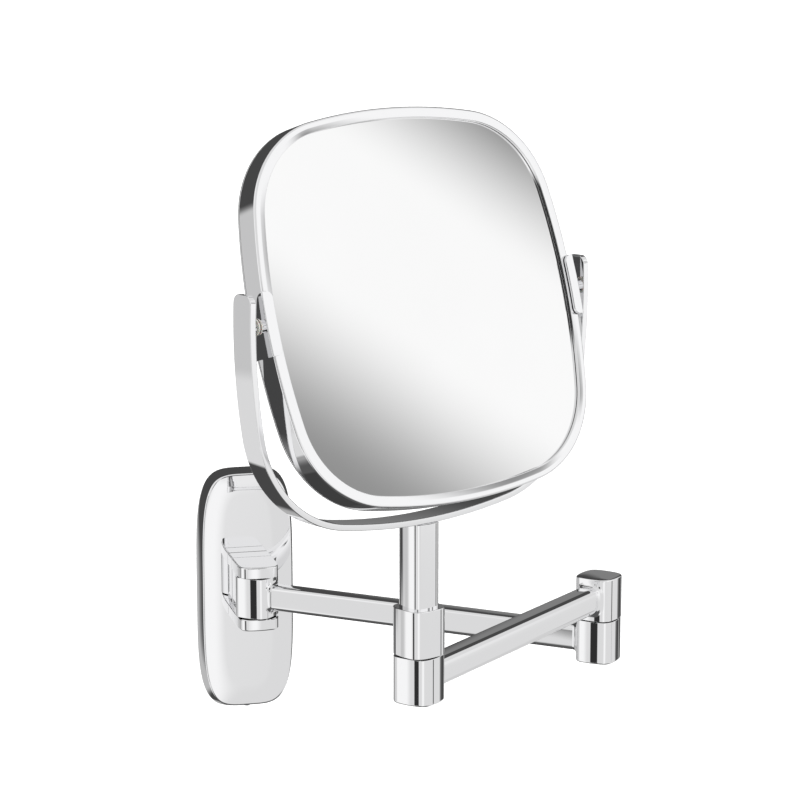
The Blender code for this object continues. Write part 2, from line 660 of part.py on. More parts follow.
def make_cap(name, parent, x, offset):
    """Plug that closes a knuckle from below."""
    low = offset + KNUCKLE_LOW + CAP_INSET
    high = offset + CAP_TOP
    profile = [(CAP_R - SCREW_CHAMFER, low), (CAP_R, low + SCREW_CHAMFER), (CAP_R, high)]
    made = solid(name, turned(profile, ROUND_STEPS), parent, "polished_chrome")
    made.location.x = x
    return made


def make_bolt(name, parent):
    """Shoulder bolt from the lower knuckle up into the piece that turns on it."""
    profile = [(BOLT_SOCKET_R, BOLT_HEAD_LOW + BOLT_SOCKET), (BOLT_SOCKET_R, BOLT_HEAD_LOW),
               (BOLT_HEAD_R, BOLT_HEAD_LOW), (BOLT_HEAD_R, BOLT_HEAD_HIGH), (PIN_R, BOLT_HEAD_HIGH),
               (PIN_R, BOLT_TIP - SCREW_CHAMFER), (PIN_R - SCREW_CHAMFER, BOLT_TIP)]
    return solid(name, turned(profile, ROUND_STEPS), parent, "zinc_steel")


def make_spring_washer(name, parent):
    """Conical spring between the bolt head and the lower bush."""
    hole = PIN_R + GAP
    edge = BUSH_FLANGE_R - 2 * GAP
    profile = [(hole, SPRING_LOW), (edge, SPRING_LOW + SPRING_RISE),
               (edge, SPRING_LOW + SPRING_RISE + SPRING_SHEET), (hole, SPRING_LOW + SPRING_SHEET)]
    return solid(name, turned(profile, ROUND_STEPS, closed=True), parent, "spring_steel")


def make_swivel(prefix, knuckle, knuckle_parent, x, offset, turning_parent):
    """Everything inside a knuckle that carries the next one; offset is its upper seam plane."""
    open_underside(knuckle, knuckle_parent, x, offset)
    upper_face = offset + KNUCKLE_HIGH + BUSH_PROUD
    lower_face = offset + LOWER_FLANGE_LOW
    make_bush(f"{prefix}_bush_upper", knuckle_parent, x, upper_face, 1, SWIVEL_BUSH_LENGTH)
    make_bush(f"{prefix}_bush_lower", knuckle_parent, x, lower_face, -1, SWIVEL_BUSH_LENGTH)
    make_cap(f"{prefix}_cap", knuckle_parent, x, offset)
    make_bolt(f"{prefix}_bolt", turning_parent)
    make_spring_washer(f"{prefix}_spring_washer", turning_parent)


def thread_hole(made, parent):
    """Blind hole for the bolt, from the lower face of the piece that turns on it."""
    cut(made, round_cutter(f"{made.name}_thread", PIN_R + GAP, -BEYOND, BOLT_TIP + GAP, parent))


def make_rear_arm(wall_hinge):
    """Wall knuckle, tube and lower elbow knuckle, with the wall hinge's bushes."""
    edges = (SEAM_EDGE, SEAM_EDGE)
    low, high = KNUCKLE_LOW, KNUCKLE_HIGH
    near = make_knuckle("rear_arm_wall_knuckle", wall_hinge, 0.0, low, high, edges, arm_sign=1)
    bore_knuckle(near, wall_hinge, 0.0, low, high)
    make_bush("wall_bush_upper", wall_hinge, 0.0, high + BUSH_PROUD, 1, WALL_BUSH_LENGTH)
    make_bush("wall_bush_lower", wall_hinge, 0.0, low - BUSH_PROUD, -1, WALL_BUSH_LENGTH)
    make_tube("rear_arm_tube", wall_hinge, REAR_ARM_LENGTH, (low + high) / 2)
    far = make_knuckle("rear_arm_elbow_knuckle", wall_hinge, REAR_ARM_LENGTH, low, high,
                       (KNUCKLE_EDGE, SEAM_EDGE), arm_sign=-1)
    bore_knuckle(far, wall_hinge, REAR_ARM_LENGTH, low, high, bottom_pocket=False)
    return far


def make_front_arm(elbow_hinge):
    """Crowned elbow knuckle, tube and the knuckle under the post."""
    low = SEAM / 2
    high = KNUCKLE_HEIGHT - SEAM / 2
    near = make_knuckle("front_arm_elbow_knuckle", elbow_hinge, 0.0, low, high,
                        (SEAM_EDGE, KNUCKLE_EDGE), ELBOW_CROWN, 1)
    thread_hole(near, elbow_hinge)
    make_tube("front_arm_tube", elbow_hinge, FRONT_ARM_LENGTH, (low + high) / 2)
    far = make_knuckle("front_arm_post_knuckle", elbow_hinge, FRONT_ARM_LENGTH, low, high,
                       (KNUCKLE_EDGE, SEAM_EDGE), arm_sign=-1)
    bore_knuckle(far, elbow_hinge, FRONT_ARM_LENGTH, low, high, bottom_pocket=False)
    return far


# ---------------------------------------------------------------- post and yoke

def make_collar(post_hinge):
    """Soft square collar with a socket for the post."""
    high = COLLAR_HEIGHT
    rings = knuckle_rings(SEAM / 2, high, SEAM_EDGE, SEAM_EDGE)
    collar = solid("post_collar", loft(rings), post_hinge, "polished_chrome")
    outline = POST.outline(GAP)
    rings = [level(outline, high - POST_SOCKET - GAP), level(outline, high + BEYOND)]
    cut(collar, solid("collar_socket", loft(rings), post_hinge, None))
    thread_hole(collar, post_hinge)
    return collar


def yoke_section(angle, offset, reach):
    """Cross-section of the band where its outward normal has this angle."""
    inner = offset
    outer = offset + YOKE_THICKNESS
    edge = YOKE_EDGE
    corners = [(inner + edge, -reach), (outer - edge, -reach), (outer, -reach + edge), (outer, reach - edge),
               (outer - edge, reach), (inner + edge, reach), (inner, reach - edge), (inner, -reach + edge)]
    ring = []
    for out, forward in corners:
        place = HEAD.point(angle, out)
        ring.append(Vector((place.x, -forward, PIVOT_HEIGHT + place.y)))
    return ring


def make_post(post_hinge):
    """Post from the collar's socket up to the underside of the yoke."""
    low = COLLAR_HEIGHT - POST_SOCKET
    rings = [level(POST.outline(-SMALL_CHAMFER), low), level(POST.outline(), low + SMALL_CHAMFER),
             level(POST.outline(), POST_TOP + YOKE_THICKNESS)]
    post = solid("yoke_post", loft(rings), post_hinge, "polished_chrome")
    under = [HEAD.point(angle, YOKE_GAP + YOKE_THICKNESS + GAP)
             for angle in HEAD.angles(pi * 1.5 - HEAD.turn, pi * 1.5 + HEAD.turn)]
    above = [Vector((under[-1].x, -HEAD_HALF)), Vector((under[0].x, -HEAD_HALF))]
    depth = 2 * POST_HALF
    rings = [[Vector((point.x, y, PIVOT_HEIGHT + point.y)) for point in under + above]
             for y in (-depth, depth)]
    cut(post, solid("post_top_curve", loft(rings), post_hinge, None))
    return post


def make_yoke_band(post_hinge):
    """U-shaped band that follows the rim at a constant gap, with rounded ends."""
    rise = asin(YOKE_ARM_RISE / HEAD_SIDE_R)
    end_turn = YOKE_END_R / HEAD_SIDE_R
    start = pi - rise
    stop = 2 * pi + rise
    shares = (0.0, 0.12, 0.32, 0.62, 1.0)
    angles = [(start + end_turn * share, share) for share in shares[:-1]]
    angles += [(angle, 1.0) for angle in HEAD.angles(start + end_turn, stop - end_turn)]
    angles += [(stop - end_turn * share, share) for share in reversed(shares[:-1])]
    sections = []
    for angle, share in angles:
        shrink = YOKE_END_R * (1 - sqrt(1 - (1 - share) ** 2))
        sections.append(yoke_section(angle, YOKE_GAP, YOKE_DEPTH / 2 - shrink))
    band = solid("yoke_band", loft(sections), post_hinge, "polished_chrome")
    for name, sign in (("left", -1), ("right", 1)):
        seat = YOKE_INNER_X + STUD_SEAT + GAP
        near, far = sorted((sign * (YOKE_INNER_X - BEYOND), sign * seat))
        cut(band, round_cutter(f"yoke_seat_{name}", STUD_R + GAP, near, far, post_hinge, "+X",
                               (0, 0, PIVOT_HEIGHT), SMALL_STEPS))
    return band


def make_pivot(post_hinge, tilt_hinge, name, sign):
    """Stud, spacer and retaining ring on the yoke, and the bush in the clip, on one side."""
    wall_inner = HEAD_HALF - RIM_WALL
    bush_tip = wall_inner - GAP
    ring_outer = bush_tip - GAP
    ring_inner = ring_outer - RING_SHEET
    stud_end = ring_inner - STUD_TIP
    flange_inner = CLIP_OUTER_X + GAP
    flange_outer = flange_inner + PIVOT_BUSH_FLANGE
    place = (0, 0, PIVOT_HEIGHT)
    groove_r = STUD_R - RING_GROOVE

    stud = [(STUD_R - SMALL_CHAMFER, stud_end), (STUD_R, stud_end + SMALL_CHAMFER),
            (STUD_R, ring_inner - RING_PLAY), (groove_r, ring_inner - RING_PLAY),
            (groove_r, ring_outer + RING_PLAY), (STUD_R, ring_outer + RING_PLAY),
            (STUD_R, YOKE_INNER_X + STUD_SEAT)]
    spacer = tube_profile(STUD_R + GAP, SPACER_R, flange_outer + GAP, YOKE_INNER_X - GAP)
    ring = tube_profile(groove_r + 2 * RING_PLAY, RING_R, ring_inner, ring_outer)
    bush_in = STUD_R + GAP
    bush_out = bush_in + PIVOT_BUSH_WALL
    bush = [(bush_in, bush_tip), (bush_out, bush_tip), (bush_out, flange_inner),
            (PIVOT_BUSH_FLANGE_R, flange_inner), (PIVOT_BUSH_FLANGE_R, flange_outer), (bush_in, flange_outer)]

    def mirrored(profile):
        return [(radius, sign * along) for radius, along in profile]

    lay_along(solid(f"pivot_stud_{name}", turned(mirrored(stud), SMALL_STEPS), post_hinge, "polished_chrome"),
              "+X", place)
    lay_along(solid(f"pivot_spacer_{name}", turned(mirrored(spacer), SMALL_STEPS, True), post_hinge,
                    "polished_chrome"), "+X", place)
    lay_along(solid(f"pivot_ring_{name}", turned(mirrored(ring), SMALL_STEPS, True), post_hinge,
                    "spring_steel"), "+X", place)
    lay_along(solid(f"pivot_bush_{name}", turned(mirrored(bush), SMALL_STEPS, True), tilt_hinge,
                    "white_nylon"), "+X")


# ---------------------------------------------------------------- mirror head

def rim_ring(offset, forward):
    """Outline of the head, moved outwards by offset and forward from its middle plane."""
    return [Vector((point.x, -forward, point.y)) for point in HEAD.outline(offset)]


def make_front_bezel(tilt_hinge):
    """Rim with the front lip, one closed channel section carried round the outline."""
    front = HEAD_HALF_DEPTH
    lip_under = front - LIP_THICKNESS
    rear = -HEAD_HALF_DEPTH + LIP_THICKNESS + GAP
    section = [(0.0, rear), (0.0, front - LIP_EDGE), (-LIP_EDGE * 0.3, front - LIP_EDGE * 0.3),
               (-LIP_EDGE, front), (-LIP_WIDTH + LIP_EDGE, front), (-LIP_WIDTH, lip_under + LIP_INNER_EDGE),
               (-LIP_WIDTH, lip_under), (-RIM_WALL, lip_under), (-RIM_WALL, rear)]
    rings = [rim_ring(offset, forward) for offset, forward in section]
    bezel = solid("front_bezel", loft(rings, closed=True), tilt_hinge, "polished_chrome")
    for name, sign in (("left", -1), ("right", 1)):
        near, far = sorted((sign * (HEAD_HALF - RIM_WALL - BEYOND), sign * (HEAD_HALF + BEYOND)))
        cut(bezel, round_cutter(f"bezel_hole_{name}", PIVOT_BORE_R, near, far, tilt_hinge, "+X",
                                steps=SMALL_STEPS))
    return bezel


def make_rear_bezel(tilt_hinge):
    """Rear lip with a short step that centres it in the rim."""
    back = -HEAD_HALF_DEPTH
    inside = back + LIP_THICKNESS
    step_out = -RIM_WALL - GAP
    step_in = -GLASS_MARGIN + GAP
    section = [(0.0, inside), (step_out, inside), (step_out, inside + SKIRT), (step_in, inside + SKIRT),
               (step_in, inside), (-LIP_WIDTH, inside), (-LIP_WIDTH, inside - LIP_INNER_EDGE),
               (-LIP_WIDTH + LIP_EDGE, back), (-LIP_EDGE, back), (-LIP_EDGE * 0.3, back + LIP_EDGE * 0.3),
               (0.0, back + LIP_EDGE)]
    return solid("rear_bezel", loft([rim_ring(o, f) for o, f in section], closed=True), tilt_hinge,
                 "polished_chrome")


def scaled_face(margin, share, forward):
    """Ring of a glass or pad, a share of its outline; forward gives each point's place."""
    ring = []
    for point in HEAD.outline(-margin):
        x = point.x * share
        z = point.y * share
        ring.append(Vector((x, -forward(hypot(x, z)), z)))
    return ring


def make_front_glass(tilt_hinge):
    """Plane mirror glass behind the front lip."""
    front = HEAD_HALF_DEPTH - LIP_THICKNESS - GAP
    rings = [scaled_face(GLASS_MARGIN + SMALL_CHAMFER, 1.0, lambda r: front),
             scaled_face(GLASS_MARGIN, 1.0, lambda r: front - SMALL_CHAMFER),
             scaled_face(GLASS_MARGIN, 1.0, lambda r: front - FRONT_GLASS)]
    return solid("front_glass", loft(rings), tilt_hinge, "mirror_glass")


def hollow(radius):
    """How far the hollow rear glass lies in front of its corners at a distance from its centre."""
    return (GLASS_CORNER ** 2 - radius ** 2) / (2 * MAGNIFIER_RADIUS)


def make_rear_glass(tilt_hinge):
    """Hollow magnifying glass behind the rear lip."""
    back = -HEAD_HALF_DEPTH + LIP_THICKNESS + GAP
    shares = (0.08, 0.36, 0.64, 0.86, 1.0)
    rings = [scaled_face(GLASS_MARGIN, share, lambda r: back + hollow(r)) for share in shares]
    rings += [scaled_face(GLASS_MARGIN, share, lambda r: back + hollow(r) + REAR_GLASS)
              for share in reversed(shares)]
    return solid("rear_glass", loft(rings), tilt_hinge, "mirror_glass")


def make_packing(tilt_hinge):
    """Pad that fills the space between the two glasses."""
    front = HEAD_HALF_DEPTH - LIP_THICKNESS - FRONT_GLASS - 2 * GAP
    back = -HEAD_HALF_DEPTH + LIP_THICKNESS + REAR_GLASS + 2 * GAP
    margin = GLASS_MARGIN + PACKING_MARGIN
    shares = (0.08, 0.36, 0.64, 0.86, 1.0)
    rings = [scaled_face(margin, share, lambda r: back + hollow(r)) for share in shares]
    rings.append(scaled_face(margin, 1.0, lambda r: front))
    return solid("glass_packing", loft(rings), tilt_hinge, "grey_foam")


def make_clip(tilt_hinge, name, middle):
    """C-shaped clip round the rim at a pivot; middle is the direction of its side."""
    reach = CLIP_HALF_LENGTH / HEAD_SIDE_R
    corner = CLIP_CORNER_R / HEAD_SIDE_R
    corner_shares = (0.0, 0.1, 0.3, 0.6)
    turns = [(-reach + corner * share, share) for share in corner_shares]
    flat = 4
    for i in range(flat + 1):
        turns.append((-reach + corner + (2 * reach - 2 * corner) * i / flat, 1.0))
    turns += [(reach - corner * share, share) for share in reversed(corner_shares)]
    inner_w = HEAD_HALF_DEPTH + GAP
    outer_w = inner_w + CLIP_SHEET
    sections = []
    for turn, share in turns:
        lap = CLIP_LAP - CLIP_CORNER_R * (1 - sqrt(1 - (1 - share) ** 2))
        outer = GAP + CLIP_SHEET
        section = [(outer, -outer_w), (outer, outer_w), (-lap, outer_w), (-lap, inner_w),
                   (GAP, inner_w), (GAP, -inner_w), (-lap, -inner_w), (-lap, -outer_w)]
        ring = []
        for offset, forward in section:
            place = HEAD.point(middle + turn, offset)
            ring.append(Vector((place.x, -forward, place.y)))
        sections.append(ring)
    clip = solid(f"pivot_clip_{name}", loft(sections), tilt_hinge, "polished_chrome")
    sign = 1 if cos(middle) > 0 else -1
    near, far = sorted((sign * (HEAD_HALF - BEYOND), sign * (CLIP_OUTER_X + BEYOND)))
    cut(clip, round_cutter(f"clip_hole_{name}", PIVOT_BORE_R, near, far, tilt_hinge, "+X",
                           steps=SMALL_STEPS))
    return clip


# ---------------------------------------------------------------- the whole mirror

def make_wall_side():
    """Everything that stays on the wall."""
    make_wall_cover(None)
    make_bracket(None)
    make_grub_screw(None)
    make_hinge_base(None)
    make_clevis(None)
    make_clevis_screw(None, "clevis_screw_upper", UPPER_LUG_Z)
    make_clevis_screw(None, "clevis_screw_lower", LOWER_LUG_Z)
    make_wall_hinge_pin(None)


def make_arms(wall_hinge, elbow_hinge, post_hinge):
    """Both arms with the swivels that carry the next piece."""
    rear_end = make_rear_arm(wall_hinge)
    make_swivel("elbow", rear_end, wall_hinge, REAR_ARM_LENGTH, 0.0, elbow_hinge)
    front_end = make_front_arm(elbow_hinge)
    make_swivel("post", front_end, elbow_hinge, FRONT_ARM_LENGTH, KNUCKLE_HEIGHT, post_hinge)


def make_head(post_hinge, tilt_hinge):
    """Yoke, pivots and mirror head."""
    make_collar(post_hinge)
    make_post(post_hinge)
    make_yoke_band(post_hinge)
    for name, sign, middle in (("left", -1, pi), ("right", 1, 0.0)):
        make_pivot(post_hinge, tilt_hinge, name, sign)
        make_clip(tilt_hinge, name, middle)
    make_front_bezel(tilt_hinge)
    make_rear_bezel(tilt_hinge)
    make_front_glass(tilt_hinge)
    make_rear_glass(tilt_hinge)
    make_packing(tilt_hinge)


def main():
    for old in list(bpy.data.objects):
        bpy.data.objects.remove(old)
    wall_hinge = joint_empty("wall_hinge", None, (0, -HINGE_REACH, LEVEL_Z), (0, 0, REAR_ARM_ANGLE))
    elbow_hinge = joint_empty("elbow_hinge", wall_hinge, (REAR_ARM_LENGTH, 0, 0), (0, 0, ELBOW_ANGLE))
    post_hinge = joint_empty("post_hinge", elbow_hinge, (FRONT_ARM_LENGTH, 0, KNUCKLE_HEIGHT),
                             (0, 0, SWIVEL_ANGLE))
    tilt_hinge = joint_empty("tilt_hinge", post_hinge, (0, 0, PIVOT_HEIGHT), (-HEAD_TILT, 0, 0))
    make_wall_side()
    make_arms(wall_hinge, elbow_hinge, post_hinge)
    make_head(post_hinge, tilt_hinge)
    bpy.context.view_layer.update()


main()
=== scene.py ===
"""Finished look of the wall-mounted swing-arm shaving mirror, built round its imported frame.

Metres, +Z up, the wall is the plane y = 0 and the room lies towards -Y. Each piece is made in
the axes of the joint it turns with (arms along +X, mirror facing -Y) and then put in place.
"""
import json
from math import asin, atan, atan2, cos, hypot, pi, radians, sin, sqrt, tan

import bmesh
import bpy
from bpy.props import FloatProperty, FloatVectorProperty, PointerProperty
from bpy.types import Operator, Panel, PropertyGroup
from mathutils import Matrix, Vector


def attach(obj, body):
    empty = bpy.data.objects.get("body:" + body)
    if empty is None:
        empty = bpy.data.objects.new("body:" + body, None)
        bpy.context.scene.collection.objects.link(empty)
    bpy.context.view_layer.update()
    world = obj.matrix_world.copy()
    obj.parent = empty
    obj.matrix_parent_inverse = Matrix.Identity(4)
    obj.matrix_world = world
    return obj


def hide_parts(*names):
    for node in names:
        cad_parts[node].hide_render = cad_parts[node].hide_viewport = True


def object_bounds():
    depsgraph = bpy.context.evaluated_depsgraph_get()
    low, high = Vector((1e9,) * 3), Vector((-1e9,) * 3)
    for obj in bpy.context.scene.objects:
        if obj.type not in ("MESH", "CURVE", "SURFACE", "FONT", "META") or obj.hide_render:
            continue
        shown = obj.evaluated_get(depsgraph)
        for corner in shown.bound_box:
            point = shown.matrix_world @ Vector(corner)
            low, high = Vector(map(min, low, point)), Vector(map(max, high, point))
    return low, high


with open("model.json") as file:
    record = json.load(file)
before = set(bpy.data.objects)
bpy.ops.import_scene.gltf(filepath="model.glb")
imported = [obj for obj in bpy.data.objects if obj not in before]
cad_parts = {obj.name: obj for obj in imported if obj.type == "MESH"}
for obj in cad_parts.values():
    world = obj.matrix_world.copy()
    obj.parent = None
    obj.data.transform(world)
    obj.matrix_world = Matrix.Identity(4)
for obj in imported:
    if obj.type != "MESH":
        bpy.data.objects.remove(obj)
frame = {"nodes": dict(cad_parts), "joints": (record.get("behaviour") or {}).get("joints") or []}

bl_info = {
    "name": "Swing-arm shaving mirror",
    "version": (1, 0, 0),
    "blender": (4, 5, 0),
    "location": "3D View > Sidebar > Mirror",
    "description": "Builds the pieces of a wall-mounted shaving mirror round its frame",
    "category": "Object",
}

MM = 0.001
BROKEN_EDGE = 0.3 * MM    # edge of a pressed or turned piece once its burr is off
CAD_BOX = [list(corner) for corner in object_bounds()]


# ---------------------------------------------------------------- where the joints are

def axes_at(origin, along):
    """Matrix with its origin on a joint and +X along a level direction."""
    x = Vector((along[0], along[1], 0)).normalized()
    y = Vector((-x.y, x.x, 0))
    turn = Matrix((x, y, (0, 0, 1))).transposed().to_4x4()
    return Matrix.Translation(origin) @ turn


JOINTS = {joint["name"]: joint for joint in frame["joints"]}
WALL_HINGE = Vector(JOINTS["wall_swing"]["pos_m"])
ELBOW = Vector(JOINTS["elbow_swing"]["pos_m"])
SWIVEL = Vector(JOINTS["post_swivel"]["pos_m"])
PIVOT = Vector(JOINTS["head_tilt"]["pos_m"])
HEAD_TILT = radians(16.8)

WALL_AXES = Matrix.Identity(4)
REAR_AXES = axes_at(WALL_HINGE, ELBOW - WALL_HINGE)
FRONT_AXES = axes_at(ELBOW, SWIVEL - ELBOW)
YOKE_AXES = axes_at(SWIVEL, JOINTS["head_tilt"]["axis"])
PIVOT_AXES = axes_at(PIVOT, JOINTS["head_tilt"]["axis"])
HEAD_AXES = PIVOT_AXES @ Matrix.Rotation(-HEAD_TILT, 4, "X")


def extent(node, axes):
    """Lowest and highest corner of a CAD node, measured along a joint's axes."""
    inverse = axes.inverted()
    points = [inverse @ vertex.co for vertex in frame["nodes"][node].data.vertices]
    low = Vector([min(point[i] for point in points) for i in range(3)])
    high = Vector([max(point[i] for point in points) for i in range(3)])
    return low, high


REAR_LENGTH = (ELBOW - WALL_HINGE).length
FRONT_LENGTH = (SWIVEL - ELBOW).to_2d().length
HEAD_LOW, HEAD_HIGH = extent("front_bezel", HEAD_AXES)
BACK_LOW, BACK_HIGH = extent("rear_bezel", HEAD_AXES)
KNUCKLE_LOW, KNUCKLE_HIGH = extent("front_arm_elbow_knuckle", FRONT_AXES)
TUBE_LOW, TUBE_HIGH = extent("front_arm_tube", FRONT_AXES)
COVER_LOW, COVER_HIGH = extent("wall_cover", WALL_AXES)
CLEVIS_LOW, CLEVIS_HIGH = extent("hinge_clevis", WALL_AXES)
BASE_LOW, BASE_HIGH = extent("hinge_base", WALL_AXES)
BAND_LOW, BAND_HIGH = extent("yoke_band", YOKE_AXES)
POST_LOW, POST_HIGH = extent("yoke_post", YOKE_AXES)
COLLAR_LOW, COLLAR_HIGH = extent("post_collar", YOKE_AXES)
CLIP_LOW, CLIP_HIGH = extent("pivot_clip_right", HEAD_AXES)
PIVOT_RISE = (PIVOT - SWIVEL).z


def linear(code):
    """An sRGB hex colour as linear red, green and blue."""
    parts = [int(code[i:i + 2], 16) / 255 for i in (1, 3, 5)]
    return [part / 12.92 if part <= 0.04045 else ((part + 0.055) / 1.055) ** 2.4 for part in parts]


def length(name, default, text):
    """A length that the user can change."""
    return FloatProperty(name=name, default=default, min=0, unit="LENGTH", precision=5, description=text)


def colour(name, code, text):
    """A colour that the user can change."""
    return FloatVectorProperty(name=name, default=linear(code), size=3, min=0, max=1, subtype="COLOR",
                               description=text)


class MirrorHeadSizes(PropertyGroup):
    """Sizes of the mirror head and its yoke."""
    half: length("Half width", HEAD_HIGH.x, "Half the width of the soft square rim")
    side_radius: length("Side radius", 301.0 * MM, "Bow of the rim's sides")
    corner_radius: length("Corner radius", 50.2 * MM, "Radius of the rim's corners")
    lip: length("Lip width", 5.5 * MM, "Width of the polished lip round the glass")
    lip_edge: length("Lip edge", 1.2 * MM, "Rounding of the lip's outer edge")
    lip_slope: length("Lip slope", 0.5 * MM, "Fall of the lip from the glass to its outer edge")
    lip_sheet: length("Lip thickness", 1.6 * MM, "Thickness of the lip and of the rim's wall")
    glass_margin: length("Glass margin", 4.2 * MM, "Rim's outside to the edge of the glass")
    front_glass: length("Front glass", 3.0 * MM, "Thickness of the plane glass")
    rear_glass: length("Rear glass", 2.5 * MM, "Thickness of the magnifying glass")
    hollow_radius: length("Magnifier radius", 1300 * MM, "Radius of the hollow magnifying glass")
    band: length("Yoke thickness", 3.2 * MM, "Thickness of the yoke's band")
    band_edge: length("Yoke edge", 0.45 * MM, "Rounding of the band's long edges")
    band_end: length("Yoke end radius", 4.2 * MM, "Rounding of the band's two ends")
    clip_sheet: length("Clip thickness", 1.5 * MM, "Sheet of the clips at the pivots")
    clip_lap: length("Clip lap", 4.0 * MM, "Reach of a clip over the lip")
    clip_corner: length("Clip corner", 3.4 * MM, "Rounding of a clip's corners")


class MirrorArmSizes(PropertyGroup):
    """Sizes of the knuckles, arms and post."""
    knuckle: length("Knuckle half width", COLLAR_HIGH.x, "Half the width of a soft square knuckle")
    side_radius: length("Knuckle side radius", 30.0 * MM, "Bow of a knuckle's sides")
    corner_radius: length("Knuckle corner radius", 5.6 * MM, "Radius of a knuckle's corners")
    outer_edge: length("Outer edge", 0.9 * MM, "Rounding where a knuckle ends")
    seam_edge: length("Seam edge", 0.25 * MM, "Rounding along a running seam")
    tube_edge: length("Tube edge", 3.0 * MM, "Rounding of the arm tubes' long edges")
    tube_bow: length("Tube bow", 0.45 * MM, "Swelling of the arm tubes' sides")
    weld: length("Weld radius", 2.4 * MM, "Blend between an arm and its knuckle")
    post_side: length("Post side radius", 24.0 * MM, "Bow of the post's sides")
    post_corner: length("Post corner radius", 3.8 * MM, "Radius of the post's corners")


class MirrorWallSizes(PropertyGroup):
    """Sizes of the cover on the wall."""
    squareness: FloatProperty(name="Squareness", default=4.2, min=2, max=8,
                              description="Exponent of the cover's rounded outline")
    edge_across: length("Edge across", 3.9 * MM, "Width of the drafted side, measured across the face")
    foot: length("Foot", 0.8 * MM, "Upright rim that stands on the wall")
    belly: length("Belly", 0.6 * MM, "How far in the side bends most")
    belly_height: length("Belly height", 3.6 * MM, "Height over the wall where the side bends most")
    face_round: length("Face round", 1.3 * MM, "Radius where the side meets the face")
    crown: length("Crown", 0.8 * MM, "Rise of the face above its edge")
    crown_inset: length("Crown inset", 15.0 * MM, "How far in the crown ends")
    sheet: length("Sheet", 1.6 * MM, "Thickness of the cover")
    lug: length("Lug", 6.6 * MM, "Thickness of a hinge lug")
    web: length("Web", 1.8 * MM, "Thickness of the web between the lugs")
    web_inset: length("Waist", 2.6 * MM, "The web is this much narrower, each side")
    web_edge: length("Waist edge", 1.3 * MM, "Rounding of the web's upright edges")


class MirrorColours(PropertyGroup):
    """Colours of the finishes."""
    chrome: colour("Chrome", "#F5F5F6", "Polished chrome plating")
    silver: colour("Silvering", "#FAFAFA", "Silvered mirror glass")
    zinc: colour("Zinc", "#B9BCBF", "Bright zinc-plated steel")
    spring: colour("Spring steel", "#6E6F72", "Oiled spring steel")
    nylon: colour("Nylon", "#DAD8D0", "Natural nylon")
    foam: colour("Foam", "#54555A", "Closed-cell foam")
    floor: colour("Floor", "#FAFAFA", "Matt studio floor")


# ---------------------------------------------------------------- outlines

class SoftSquare:
    """Square with bowed sides, made of side arcs and corner arcs that meet at a tangent."""

    def __init__(self, half, side_radius, corner_radius, corner_step=4.0, side_step=1.2):
        self.side_radius = side_radius
        self.corner_radius = corner_radius
        self.back = side_radius - half
        reach = side_radius - corner_radius
        self.corner = (sqrt(2 * reach ** 2 - self.back ** 2) - self.back) / 2
        self.turn = atan2(self.corner, self.corner + self.back)
        self.corner_step = radians(corner_step)
        self.side_step = radians(side_step)

    def point(self, angle, offset=0.0):
        """The point whose outward normal has this angle, moved outwards by offset."""
        middle = round(angle / (pi / 2)) * pi / 2
        across = angle - middle
        if abs(across) <= self.turn + 1e-9:
            radius = self.side_radius + offset
            centre = Vector((cos(middle), sin(middle))) * -self.back
        else:
            radius = self.corner_radius + offset
            diagonal = middle + (pi / 4 if across > 0 else -pi / 4)
            centre = Vector((cos(diagonal), sin(diagonal))) * self.corner * sqrt(2)
        return centre + Vector((cos(angle), sin(angle))) * radius

    def angles(self, start, stop):
        """Normal angles from start to stop, with a break at every change of arc."""
        breaks = [start]
        for side in range(int(start // (pi / 2)) - 1, int(stop // (pi / 2)) + 2):
            for edge in (side * pi / 2 - self.turn, side * pi / 2 + self.turn):
                if start + 1e-6 < edge < stop - 1e-6:
                    breaks.append(edge)
        breaks.append(stop)
        found = []
        for low, high in zip(breaks, breaks[1:]):
            middle = (low + high) / 2
            on_side = abs(middle - round(middle / (pi / 2)) * pi / 2) < self.turn
            count = max(1, round((high - low) / (self.side_step if on_side else self.corner_step)))
            found += [low + (high - low) * i / count for i in range(count)]
        return found + [stop]

    def outline(self, offset=0.0):
        """Closed outline, counterclockwise."""
        return [self.point(angle, offset) for angle in self.angles(-self.turn, 2 * pi - self.turn)[:-1]]

    def depth_at(self, across):
        """Distance of the side from the centre at this place across it."""
        across = abs(across)
        if across <= self.side_radius * sin(self.turn):
            return sqrt(self.side_radius ** 2 - across ** 2) - self.back
        return self.corner + sqrt(max(self.corner_radius ** 2 - (across - self.corner) ** 2, 0))


def superellipse(half_x, half_z, exponent, count=240):
    """Closed rounded outline whose points are spread by direction."""
    points = []
    for i in range(count):
        c = cos(2 * pi * i / count)
        s = sin(2 * pi * i / count)
        x = abs(c) ** (2 / exponent) * half_x
        z = abs(s) ** (2 / exponent) * half_z
        points.append(Vector((x if c >= 0 else -x, z if s >= 0 else -z)))
    return points


def rounded(corners, radii, steps=5):
    """Closed polygon with its corners rounded to these radii."""
    points = []
    for i, corner in enumerate(corners):
        corner = Vector(corner)
        radius = radii[i] if isinstance(radii, (list, tuple)) else radii
        if not radius:
            points.append(corner)
            continue
        before = (Vector(corners[i - 1]) - corner).normalized()
        after = (Vector(corners[(i + 1) % len(corners)]) - corner).normalized()
        half = before.angle(after) / 2
        centre = corner + (before + after).normalized() * (radius / sin(half))
        start = corner + before * (radius / tan(half)) - centre
        stop = corner + after * (radius / tan(half)) - centre
        turn = atan2(start.x * stop.y - start.y * stop.x, start.dot(stop))
        for k in range(steps + 1):
            angle = turn * k / steps
            points.append(centre + Vector((start.x * cos(angle) - start.y * sin(angle),
                                           start.x * sin(angle) + start.y * cos(angle))))
    return points


